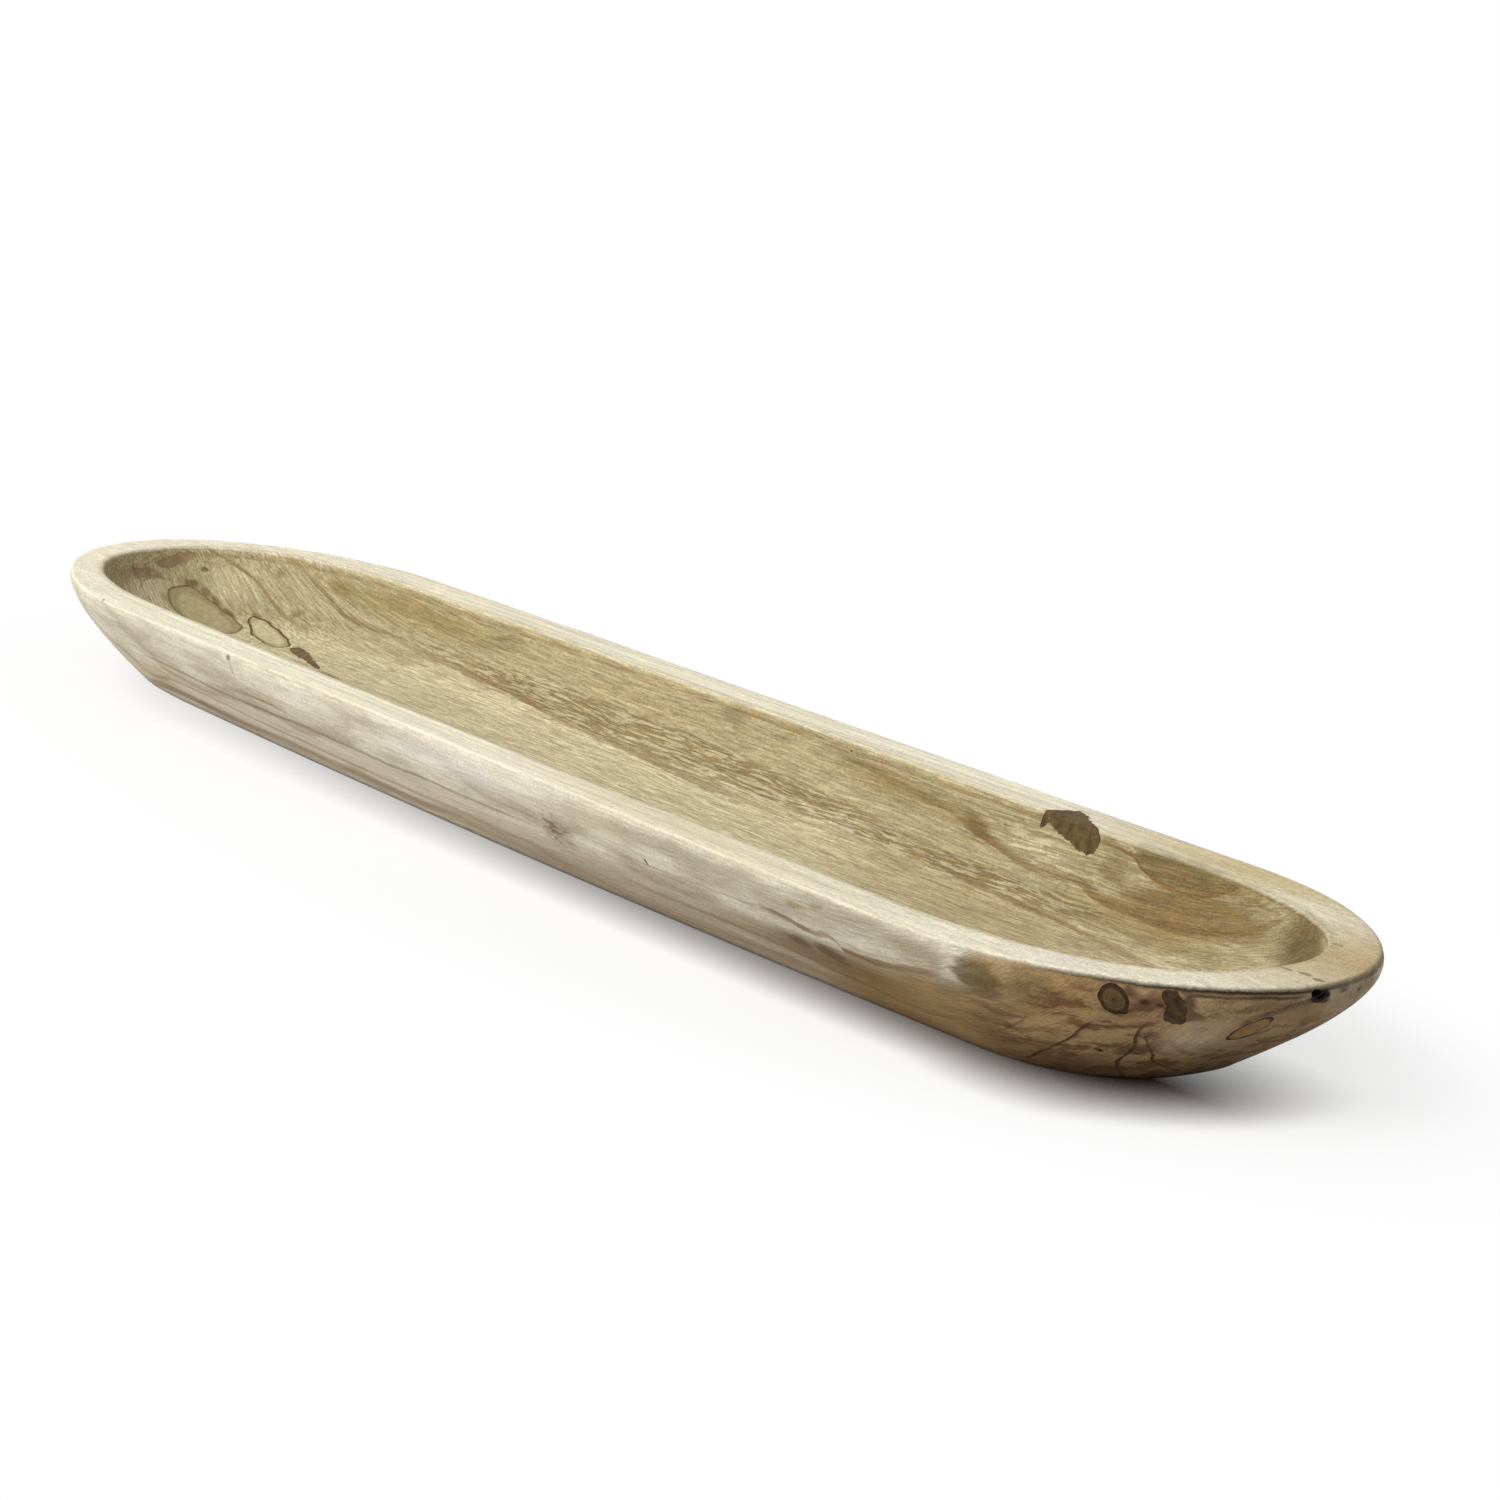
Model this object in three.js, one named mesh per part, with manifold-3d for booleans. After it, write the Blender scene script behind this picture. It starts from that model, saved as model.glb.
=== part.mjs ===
// A long, boat-shaped wooden centrepiece bowl, hewn from one length of split paulownia log.
// Millimetres, +Z up, +X along the length, -Y the side seen in front, origin in the middle of the foot.
// The wood is one carved body. The dead knots, the bark round them and the filled faults were never
// grown to it, so each is a piece of its own that sits in a pocket of the wood.

import * as THREE from 'three';
import { mergeVertices } from 'three/addons/utils/BufferGeometryUtils.js';
import Module from 'manifold-3d';

const wasm = await Module();
wasm.setup();

// The whole bowl
const LENGTH = 800;
const WIDTH = 125;
const HEIGHT = 38;
const EDGE_ROUND = 1.2;

// The rim: straight sides and two rounded ends, the left one longer than the right
const RIM_LEFT_END = 138;
const RIM_RIGHT_END = 120;
const RIM_FULLNESS = 1.93;

// The foot, set in under the rim, most of all at the right end
const FOOT_LEFT_SET_IN = 42.5;
const FOOT_RIGHT_SET_IN = 59.5;
const FOOT_SIDE_SET_IN = 23.7;
const FOOT_LEFT_END = 91;
const FOOT_RIGHT_END = 56;
const FOOT_BOW = 6;
const FOOT_FULLNESS = 2.45;

// Where the sloping flanks turn upright, below the rim and a little beyond or inside it
const LEFT_TURN_BELOW_RIM = 5.8;
const LEFT_TURN_BEYOND_RIM = 0.2;
const RIGHT_TURN_BELOW_RIM = 9.9;
const RIGHT_TURN_BEYOND_RIM = 0.9;
const SIDE_TURN_BELOW_RIM = 12.7;
const SIDE_TURN_INSIDE_RIM = 1.7;

// The mouth of the hollow, left inside the flat rim
const RIM_SIDE_WALL = 13.2;
const RIM_END_WALL = 21.9;
const MOUTH_LEFT_END = 132;
const MOUTH_RIGHT_END = 116;
const MOUTH_BOW = 2.7;
const MOUTH_FULLNESS = 2.42;

// The floor of the hollow: dished a little, and reached by steep sides and scooped ends
const FLOOR_THICKNESS = 10;
const FLOOR_DISH = 3;
const HOLLOW_SIDE_RUN = 19.8;
const HOLLOW_END_RUN = 52;
const FLOOR_LEFT_END = 110;
const FLOOR_RIGHT_END = 98;
const FLOOR_BOW = 3.6;
const FLOOR_FULLNESS = 2.4;
const SIDE_CURVE_LEAN = 2.4;
const SIDE_CURVE_RISE = 5;
const END_CURVE_LEAN = 10.5;
const END_CURVE_RISE = 3.8;

// The fit of every inset piece in its pocket
const SEAT_GAP = 0.3;
const BARK_THICKNESS = 0.9;

// The round knot in the front flank, near the right end
const ROUND_KNOT_FROM_TIP = 32.8;
const ROUND_KNOT_BELOW_RIM = 6.4;
const ROUND_KNOT_RADIUS = 3.5;
const ROUND_KNOT_DEPTH = 7;

// The kidney-shaped fill beside it
const SIDE_FILL_FROM_TIP = 19.8;
const SIDE_FILL_BELOW_RIM = 7;
const SIDE_FILL_HEIGHT = 10;
const SIDE_FILL_WIDTH = 6.4;
const SIDE_FILL_HOOK = 1.4;
const SIDE_FILL_DEPTH = 4.5;

// The slanting knot low on the right end
const END_OVAL_FROM_TIP = 14.8;
const END_OVAL_BELOW_RIM = 14;
const END_OVAL_HALF_LENGTH = 8.6;
const END_OVAL_HALF_WIDTH = 3.4;
const END_OVAL_DEPTH = 5;
const END_OVAL_TURN = -5;

// The putty in the far wall, which wraps over the edge of the rim
const WALL_FILL_FROM_TIP = 198;
const WALL_FILL_LENGTH = 33;
const WALL_FILL_DROP = 8;
const WALL_FILL_ON_RIM = 7.6;
const WALL_FILL_DEPTH = 9.5;

// The great knot in the scoop of the left end
const GREAT_KNOT_FROM_TIP = 53.5;
const GREAT_KNOT_OFF_CENTRE = 4.8;
const GREAT_KNOT_HALF_LENGTH = 21.5;
const GREAT_KNOT_HALF_WIDTH = 7.2;
const GREAT_KNOT_TURN = 5;
const GREAT_KNOT_DEPTH = 6;

// The drop-shaped knot next to it, and the dark fill at its blunt end
const DROP_KNOT_FROM_TIP = 87;
const DROP_KNOT_OFF_CENTRE = 16.5;
const DROP_KNOT_LENGTH = 44;
const DROP_KNOT_WIDTH = 8.4;
const DROP_KNOT_TURN = -9;
const DROP_KNOT_DEPTH = 5;
const TAIL_FILL_LENGTH = 44;
const TAIL_FILL_WIDTH = 5.4;
const TAIL_FILL_CLEAR = 1.2;
const TAIL_FILL_ASIDE = 2.8;
const TAIL_FILL_DEPTH = 4;

// The two patches of fill high on the left end wall of the hollow
const LOW_PATCH_OFF_CENTRE = -8.6;
const LOW_PATCH_BELOW_RIM = 8;
const LOW_PATCH_LENGTH = 9.4;
const HIGH_PATCH_OFF_CENTRE = 5.4;
const HIGH_PATCH_BELOW_RIM = 4.6;
const HIGH_PATCH_LENGTH = 15.5;
const PATCH_WIDTH = 4.6;
const PATCH_DEPTH = 4;

// How finely the curved surfaces are divided
const AROUND = 96;
const FLANK_RINGS = 9;
const HOLLOW_RINGS = 9;
const DISH_RINGS = 3;
const ROUND_RINGS = 3;
const INSET_SIDES = 24;
const OVERCUT = 6;
const STEP = 0.01;

const FRONT = -1;
const BACK = 1;
const PALE_WOOD = 0xd8c9a2;
const KNOT_WOOD = 0xb39f78;
const DARK_BARK = 0x54432f;
const BROWN_PUTTY = 0x6f5840;

const rimOutline = {
  left: LENGTH / 2,
  right: LENGTH / 2,
  halfWidth: WIDTH / 2,
  bow: 0,
  leftEnd: RIM_LEFT_END,
  rightEnd: RIM_RIGHT_END,
  fullness: RIM_FULLNESS,
};

const footOutline = {
  left: rimOutline.left - FOOT_LEFT_SET_IN,
  right: rimOutline.right - FOOT_RIGHT_SET_IN,
  halfWidth: rimOutline.halfWidth - FOOT_SIDE_SET_IN,
  bow: FOOT_BOW,
  leftEnd: FOOT_LEFT_END,
  rightEnd: FOOT_RIGHT_END,
  fullness: FOOT_FULLNESS,
};

const mouthOutline = {
  left: rimOutline.left - RIM_END_WALL,
  right: rimOutline.right - RIM_END_WALL,
  halfWidth: rimOutline.halfWidth - RIM_SIDE_WALL,
  bow: MOUTH_BOW,
  leftEnd: MOUTH_LEFT_END,
  rightEnd: MOUTH_RIGHT_END,
  fullness: MOUTH_FULLNESS,
};

const floorOutline = {
  left: mouthOutline.left - HOLLOW_END_RUN,
  right: mouthOutline.right - HOLLOW_END_RUN,
  halfWidth: mouthOutline.halfWidth - HOLLOW_SIDE_RUN,
  bow: FLOOR_BOW,
  leftEnd: FLOOR_LEFT_END,
  rightEnd: FLOOR_RIGHT_END,
  fullness: FLOOR_FULLNESS,
};

const rimEdge = HEIGHT - EDGE_ROUND;
const floorEdge = FLOOR_THICKNESS + FLOOR_DISH;

// Each wall curve has one control point: its rise above the bottom outline and its lean in from the top one
const flank = {
  bottom: footOutline,
  top: rimOutline,
  from: 0,
  left: { rise: HEIGHT - LEFT_TURN_BELOW_RIM, lean: -LEFT_TURN_BEYOND_RIM },
  right: { rise: HEIGHT - RIGHT_TURN_BELOW_RIM, lean: -RIGHT_TURN_BEYOND_RIM },
  side: { rise: HEIGHT - SIDE_TURN_BELOW_RIM, lean: SIDE_TURN_INSIDE_RIM },
};

const scoop = { rise: END_CURVE_RISE, lean: END_CURVE_LEAN };
const hollow = {
  bottom: floorOutline,
  top: mouthOutline,
  from: floorEdge,
  left: scoop,
  right: scoop,
  side: { rise: SIDE_CURVE_RISE, lean: SIDE_CURVE_LEAN },
};

// How far a wall has come from its bottom outline, 0, to its top one, 1, at a share of its rise.
// In section it is one quadratic curve through its control point.
function reach(share, rise, lean) {
  const bend = 1 - 2 * rise;
  const along = Math.abs(bend) < STEP ? share : (Math.sqrt(rise * rise + bend * share) - rise) / bend;
  const back = 1 - along;
  return 1 - back * back - 2 * along * back * lean;
}

// The outline of a wall at a height
function wallOutline(wall, height) {
  const rise = rimEdge - wall.from;
  const share = Math.min(1, (height - wall.from) / rise);
  const grow = (size, curve) => {
    const run = wall.top[size] - wall.bottom[size];
    return wall.bottom[size] + run * reach(share, curve.rise / rise, curve.lean / run);
  };
  const blend = (size) => THREE.MathUtils.lerp(wall.bottom[size], wall.top[size], share);
  return {
    left: grow('left', wall.left),
    right: grow('right', wall.right),
    halfWidth: grow('halfWidth', wall.side),
    bow: blend('bow'),
    leftEnd: blend('leftEnd'),
    rightEnd: blend('rightEnd'),
    fullness: blend('fullness'),
  };
}

// An outline moved outwards all round
function widened(outline, by) {
  return {
    ...outline,
    left: outline.left + by,
    right: outline.right + by,
    halfWidth: outline.halfWidth + by,
  };
}

// The floor's outline drawn in towards its middle
function shrunk(outline, share) {
  const small = { ...outline };
  for (const size of ['left', 'right', 'halfWidth', 'bow', 'leftEnd', 'rightEnd']) small[size] *= share;
  return small;
}

// Half the width of an outline at a distance along it, or nothing beyond its tips
function halfWidthAt(outline, x) {
  const tip = x < 0 ? outline.left : outline.right;
  const end = x < 0 ? outline.leftEnd : outline.rightEnd;
  const far = Math.abs(x);
  if (far >= tip) return 0;
  const into = Math.max(0, far - (tip - end)) / end;
  const cap = Math.pow(1 - Math.pow(into, outline.fullness), 1 / outline.fullness);
  return (outline.halfWidth - outline.bow * (far / tip) ** 2) * cap;
}

// The points of an outline, laid flat at a height, counter-clockwise from the right tip
function ring(outline, height) {
  const points = [];
  for (let i = 0; i < AROUND; i += 1) {
    const angle = (i / AROUND) * 2 * Math.PI;
    const x = Math.cos(angle) * (Math.cos(angle) < 0 ? outline.left : outline.right);
    points.push(new THREE.Vector3(x, Math.sign(Math.sin(angle)) * halfWidthAt(outline, x), height));
  }
  return points;
}

// A closed body through rings of points, lowest first, with a point in the middle of each end
function loft(rings, bottomHeight, topHeight) {
  const points = rings.flat();
  const bottomMiddle = points.push(new THREE.Vector3(0, 0, bottomHeight)) - 1;
  const topMiddle = points.push(new THREE.Vector3(0, 0, topHeight)) - 1;
  const lastRing = (rings.length - 1) * AROUND;
  const faces = [];
  for (let i = 0; i < AROUND; i += 1) {
    const next = (i + 1) % AROUND;
    for (let start = 0; start < lastRing; start += AROUND) {
      faces.push(start + i, start + next, start + AROUND + next);
      faces.push(start + i, start + AROUND + next, start + AROUND + i);
    }
    faces.push(bottomMiddle, next, i);
    faces.push(topMiddle, lastRing + i, lastRing + next);
  }
  const geometry = new THREE.BufferGeometry().setFromPoints(points);
  geometry.setIndex(faces);
  return geometry;
}

function solidFrom(geometry) {
  geometry.deleteAttribute('normal');
  geometry.deleteAttribute('uv');
  const merged = mergeVertices(geometry);
  const vertProperties = new Float32Array(merged.attributes.position.array);
  const triVerts = new Uint32Array(merged.index.array);
  return new wasm.Manifold(new wasm.Mesh({ numProp: 3, vertProperties, triVerts }));
}

function geometryFrom(solid) {
  const mesh = solid.getMesh();
  const geometry = new THREE.BufferGeometry();
  geometry.setAttribute('position', new THREE.BufferAttribute(mesh.vertProperties, 3));
  geometry.setIndex(new THREE.BufferAttribute(mesh.triVerts, 1));
  geometry.computeVertexNormals();
  return geometry;
}

// The share of the turn and the height of each ring of a rounded edge
function roundedEdge() {
  const edge = [];
  for (let i = 1; i <= ROUND_RINGS; i += 1) {
    const turn = (i / ROUND_RINGS) * (Math.PI / 2);
    edge.push({ aside: EDGE_ROUND * (1 - Math.cos(turn)), height: rimEdge + EDGE_ROUND * Math.sin(turn) });
  }
  return edge;
}

// The outside: flanks that rise from the foot and turn upright under the rim
function hewnOutside() {
  const rings = [];
  for (let i = 0; i <= FLANK_RINGS; i += 1) {
    const height = (i / FLANK_RINGS) * rimEdge;
    rings.push(ring(wallOutline(flank, height), height));
  }
  for (const { aside, height } of roundedEdge()) {
    rings.push(ring(widened(wallOutline(flank, height), -aside), height));
  }
  return solidFrom(loft(rings, 0, HEIGHT));
}

// The outline and height of the hollow at a level: 0 in the middle of its floor, 1 at the floor's edge,
// 2 at the mouth
function hollowLevel(level) {
  if (level <= 1) {
    return { outline: shrunk(floorOutline, level), height: FLOOR_THICKNESS + FLOOR_DISH * level * level };
  }
  const height = floorEdge + (level - 1) * (rimEdge - floorEdge);
  return { outline: wallOutline(hollow, height), height };
}

// The space that the carver scoops out, carried on above the rim
function scoopedHollow() {
  const rings = [];
  for (let i = 1; i <= DISH_RINGS; i += 1) {
    const { outline, height } = hollowLevel(i / DISH_RINGS);
    rings.push(ring(outline, height));
  }
  for (let i = 1; i <= HOLLOW_RINGS; i += 1) {
    const height = floorEdge + (i / HOLLOW_RINGS) ** 1.5 * (rimEdge - floorEdge);
    rings.push(ring(wallOutline(hollow, height), height));
  }
  for (const { aside, height } of roundedEdge()) {
    rings.push(ring(widened(wallOutline(hollow, height), aside), height));
  }
  rings.push(ring(widened(mouthOutline, EDGE_ROUND), HEIGHT + OVERCUT));
  return solidFrom(loft(rings, FLOOR_THICKNESS, HEIGHT + OVERCUT));
}

// The height of the hollow's surface over a point of the plan
function hollowHeight(x, y) {
  let low = STEP;
  let high = 2;
  for (let i = 0; i < 40; i += 1) {
    const middle = (low + high) / 2;
    if (halfWidthAt(hollowLevel(middle).outline, x) > Math.abs(y)) high = middle;
    else low = middle;
  }
  return hollowLevel(high).height;
}

// A place in the hollow, over a point of the plan, with the way out of the wood there
function inHollow(x, y) {
  const slopeX = (hollowHeight(x + STEP, y) - hollowHeight(x - STEP, y)) / (2 * STEP);
  const slopeY = (hollowHeight(x, y + STEP) - hollowHeight(x, y - STEP)) / (2 * STEP);
  return {
    point: new THREE.Vector3(x, y, hollowHeight(x, y)),
    out: new THREE.Vector3(-slopeX, -slopeY, 1).normalize(),
  };
}

// A place on the left end wall of the hollow, off its centre line and below the rim
function onLeftEndWall(offCentre, belowRim) {
  const height = HEIGHT - belowRim;
  const outline = wallOutline(hollow, height);
  let near = -outline.left;
  let far = 0;
  for (let i = 0; i < 40; i += 1) {
    const middle = (near + far) / 2;
    if (halfWidthAt(outline, middle) > Math.abs(offCentre)) far = middle;
    else near = middle;
  }
  return inHollow(far, offCentre);
}

// A place on the outside of a flank, a distance along and below the rim
function onFlank(x, belowRim, side) {
  const at = (along, height) => {
    return new THREE.Vector3(along, side * halfWidthAt(wallOutline(flank, height), along), height);
  };
  const height = HEIGHT - belowRim;
  const point = at(x, height);
  const along = at(x - STEP, height).sub(point).multiplyScalar(side);
  const up = at(x, height + STEP).sub(point);
  return { point, out: along.cross(up).normalize() };
}

// The frame of an inset: its middle, its axis out of the wood, and its long way, turned round that axis
function seatFrame(point, out, turn) {
  const along = new THREE.Vector3(1, 0, 0).addScaledVector(out, -out.x).normalize();
  along.applyAxisAngle(out, THREE.MathUtils.degToRad(turn));
  return new THREE.Matrix4().makeBasis(along, out.clone().cross(along), out).setPosition(point);
}

// Outlines of insets, flat round the middle of their seat
function oval(halfLength, halfWidth) {
  return new THREE.EllipseCurve(0, 0, halfLength, halfWidth).getSpacedPoints(INSET_SIDES).slice(1);
}

function smooth(corners) {
  const curve = new THREE.CatmullRomCurve3(corners.map(([x, y]) => new THREE.Vector3(x, y, 0)), true);
  return curve.getSpacedPoints(INSET_SIDES).slice(1).map((point) => new THREE.Vector2(point.x, point.y));
}

// The long egg: a blunt left end and nearly straight sides
function egg(halfLength, halfWidth) {
  return smooth([
    [halfLength, 0],
    [halfLength * 0.85, halfWidth * 0.72],
    [halfLength * 0.4, halfWidth],
    [-halfLength * 0.35, halfWidth],
    [-halfLength * 0.85, halfWidth * 0.78],
    [-halfLength, halfWidth * 0.1],
    [-halfLength * 0.85, -halfWidth * 0.68],
    [-halfLength * 0.3, -halfWidth],
    [halfLength * 0.4, -halfWidth * 0.92],
    [halfLength * 0.82, -halfWidth * 0.6],
  ]);
}

// The drop: a pointed left end that swells to a blunt right one
function drop(length, width) {
  const half = length / 2;
  return smooth([
    [-half, 0],
    [-half * 0.45, -width * 0.42],
    [half * 0.35, -width * 0.5],
    [half * 0.92, -width * 0.3],
    [half, 0],
    [half * 0.92, width * 0.3],
    [half * 0.35, width * 0.5],
    [-half * 0.45, width * 0.42],
  ]);
}

// The kidney: an upright oval with its left side pressed in
function kidney(width, height, hook) {
  return smooth([
    [width * 0.5, 0],
    [width * 0.3, height * 0.4],
    [-width * 0.15, height * 0.5],
    [-width * 0.42, height * 0.3],
    [-width * 0.5 + hook, 0],
    [-width * 0.5, -height * 0.3],
    [-width * 0.2, -height * 0.5],
    [width * 0.32, -height * 0.38],
  ]);
}

// A ragged patch, longer than it is wide
function patch(length, width) {
  return smooth([
    [length * 0.5, width * 0.06],
    [length * 0.24, width * 0.46],
    [-length * 0.14, width * 0.34],
    [-length * 0.5, width * 0.16],
    [-length * 0.34, -width * 0.42],
    [length * 0.1, -width * 0.5],
    [length * 0.4, -width * 0.3],
  ]);
}

// An outline moved outwards by a gap or a layer
function grown(outline, by) {
  return outline.map((point, i) => {
    const before = outline[(i + outline.length - 1) % outline.length];
    const after = outline[(i + 1) % outline.length];
    const outwards = new THREE.Vector2(after.y - before.y, before.x - after.x).normalize();
    return point.clone().addScaledVector(outwards, by);
  });
}

// A straight block of an outline, from a depth in the wood to above its surface
function block(outline, frame, depth, above, hole) {
  const shape = new THREE.Shape(outline);
  if (hole) shape.holes.push(new THREE.Path(hole));
  const geometry = new THREE.ExtrudeGeometry(shape, { depth: depth + above, bevelEnabled: false });
  geometry.translate(0, 0, -depth);
  geometry.applyMatrix4(frame);
  return solidFrom(geometry);
}

// An inset piece is dressed flush with the wood round it, so it is the block where the wood was.
// Its pocket is a gap wider and a gap deeper. A knot may keep its sleeve of bark in the same pocket.
function inset(wood, outline, frame, depth, bark = 0) {
  const above = OVERCUT;
  const pieces = { plug: block(outline, frame, depth, above).intersect(wood) };
  let room = outline;
  if (bark > 0) {
    const inner = grown(outline, SEAT_GAP);
    room = grown(inner, bark);
    pieces.sleeve = block(room, frame, depth, above, inner).intersect(wood);
  }
  pieces.pocket = block(grown(room, SEAT_GAP), frame, depth + SEAT_GAP, above);
  return pieces;
}

const wood = hewnOutside().subtract(scoopedHollow());

function roundKnot() {
  const { point, out } = onFlank(LENGTH / 2 - ROUND_KNOT_FROM_TIP, ROUND_KNOT_BELOW_RIM, FRONT);
  const level = new THREE.Vector3(out.x, out.y, 0).normalize();
  const outline = oval(ROUND_KNOT_RADIUS, ROUND_KNOT_RADIUS);
  return inset(wood, outline, seatFrame(point, level, 0), ROUND_KNOT_DEPTH, BARK_THICKNESS);
}

function sideFill() {
  const { point, out } = onFlank(LENGTH / 2 - SIDE_FILL_FROM_TIP, SIDE_FILL_BELOW_RIM, FRONT);
  const level = new THREE.Vector3(out.x, out.y, 0).normalize();
  const outline = kidney(SIDE_FILL_WIDTH, SIDE_FILL_HEIGHT, SIDE_FILL_HOOK);
  return inset(wood, outline, seatFrame(point, level, 0), SIDE_FILL_DEPTH);
}

function endOvalKnot() {
  const { point, out } = onFlank(LENGTH / 2 - END_OVAL_FROM_TIP, END_OVAL_BELOW_RIM, FRONT);
  const outline = oval(END_OVAL_HALF_LENGTH, END_OVAL_HALF_WIDTH);
  return inset(wood, outline, seatFrame(point, out, END_OVAL_TURN), END_OVAL_DEPTH);
}

function greatKnot() {
  const { point, out } = inHollow(GREAT_KNOT_FROM_TIP - LENGTH / 2, GREAT_KNOT_OFF_CENTRE);
  const outline = egg(GREAT_KNOT_HALF_LENGTH, GREAT_KNOT_HALF_WIDTH);
  return inset(wood, outline, seatFrame(point, out, GREAT_KNOT_TURN), GREAT_KNOT_DEPTH, BARK_THICKNESS);
}

function dropKnot() {
  const { point, out } = inHollow(DROP_KNOT_FROM_TIP - LENGTH / 2, DROP_KNOT_OFF_CENTRE);
  const outline = drop(DROP_KNOT_LENGTH, DROP_KNOT_WIDTH);
  return inset(wood, outline, seatFrame(point, out, DROP_KNOT_TURN), DROP_KNOT_DEPTH, BARK_THICKNESS);
}

// The tail follows on from the drop knot, a little to the far side of its slanting line
function tailFill() {
  const turn = THREE.MathUtils.degToRad(DROP_KNOT_TURN);
  const apart = DROP_KNOT_LENGTH / 2 + BARK_THICKNESS + 2 * SEAT_GAP + TAIL_FILL_CLEAR + TAIL_FILL_LENGTH / 2;
  const x = DROP_KNOT_FROM_TIP - LENGTH / 2 + apart * Math.cos(turn);
  const y = DROP_KNOT_OFF_CENTRE + apart * Math.sin(turn) + TAIL_FILL_ASIDE;
  const { point, out } = inHollow(x, y);
  const outline = drop(TAIL_FILL_LENGTH, TAIL_FILL_WIDTH).map((corner) => corner.negate());
  return inset(wood, outline, seatFrame(point, out, DROP_KNOT_TURN), TAIL_FILL_DEPTH);
}

// A patch on the end wall runs across the bowl
function endPatch(offCentre, belowRim, length) {
  const { point, out } = onLeftEndWall(offCentre, belowRim);
  return inset(wood, patch(length, PATCH_WIDTH), seatFrame(point, out, 90), PATCH_DEPTH);
}

// The putty shows on two faces of the wood: a lobe on the wall and a lobe on the flat of the rim.
// Each lobe's block is cut by the other's.
function wallFill() {
  const middle = LENGTH / 2 - WALL_FILL_FROM_TIP;
  const half = WALL_FILL_LENGTH / 2;
  const edge = BACK * halfWidthAt(mouthOutline, middle);
  const wallLobe = smooth([
    [half * 0.97, -WALL_FILL_DROP * 0.25],
    [half, OVERCUT],
    [-half, OVERCUT],
    [-half * 0.98, -WALL_FILL_DROP * 0.45],
    [-half * 0.5, -WALL_FILL_DROP * 0.5],
    [half * 0.25, -WALL_FILL_DROP * 0.85],
    [half * 0.66, -WALL_FILL_DROP],
  ]);
  const rimLobe = smooth([
    [half, 0],
    [half * 0.4, WALL_FILL_ON_RIM * 0.5],
    [-half * 0.4, WALL_FILL_ON_RIM],
    [-half * 0.85, WALL_FILL_ON_RIM * 0.8],
    [-half, 0],
    [-half, -OVERCUT],
    [half, -OVERCUT],
  ]);
  const upright = new THREE.Matrix4().makeRotationX(Math.PI / 2).setPosition(middle, edge, HEIGHT);
  const flat = new THREE.Matrix4().makeTranslation(middle, edge, HEIGHT);
  const lobes = (gap) => {
    const inWall = block(grown(wallLobe, gap), upright, WALL_FILL_DEPTH + gap, OVERCUT);
    return inWall.intersect(block(grown(rimLobe, gap), flat, WALL_FILL_DROP + OVERCUT, OVERCUT));
  };
  return { plug: lobes(0).intersect(wood), pocket: lobes(SEAT_GAP) };
}

const insets = {
  round_knot: roundKnot(),
  side_fill: sideFill(),
  end_oval_knot: endOvalKnot(),
  wall_fill: wallFill(),
  great_knot: greatKnot(),
  drop_knot: dropKnot(),
  tail_fill: tailFill(),
  end_patch_low: endPatch(LOW_PATCH_OFF_CENTRE, LOW_PATCH_BELOW_RIM, LOW_PATCH_LENGTH),
  end_patch_high: endPatch(HIGH_PATCH_OFF_CENTRE, HIGH_PATCH_BELOW_RIM, HIGH_PATCH_LENGTH),
};

const bowl = new THREE.Group();

function addPiece(name, solid, color, roughness) {
  const material = new THREE.MeshStandardMaterial({ color, roughness, metalness: 0 });
  const piece = new THREE.Mesh(geometryFrom(solid), material);
  piece.name = name;
  bowl.add(piece);
}

const carved = Object.values(insets).reduce((left, { pocket }) => left.subtract(pocket), wood);
addPiece('bowl_body', carved, PALE_WOOD, 0.75);
for (const [name, { plug, sleeve }] of Object.entries(insets)) {
  const isKnot = name.endsWith('knot');
  addPiece(name, plug, isKnot ? KNOT_WOOD : BROWN_PUTTY, 0.7);
  if (sleeve) addPiece(`${name}_bark`, sleeve, DARK_BARK, 0.9);
}

export default bowl;
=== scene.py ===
"""Wooden centrepiece bowl: the looks of a boat-shaped bowl carved from one log, as a Blender add-on.

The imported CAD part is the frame. Each piece made here stands where its CAD solid is, in the same size,
with the carved surface, grain, knots, bark and fills of the real wood.
"""
from math import atan2, copysign, cos, pi, radians, sin, sqrt, tau
from typing import NamedTuple

import bmesh
import bpy
from bpy.props import FloatProperty, FloatVectorProperty, IntProperty, PointerProperty
from mathutils import Matrix, Vector, noise
from mathutils.bvhtree import BVHTree
from mathutils.kdtree import KDTree


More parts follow.
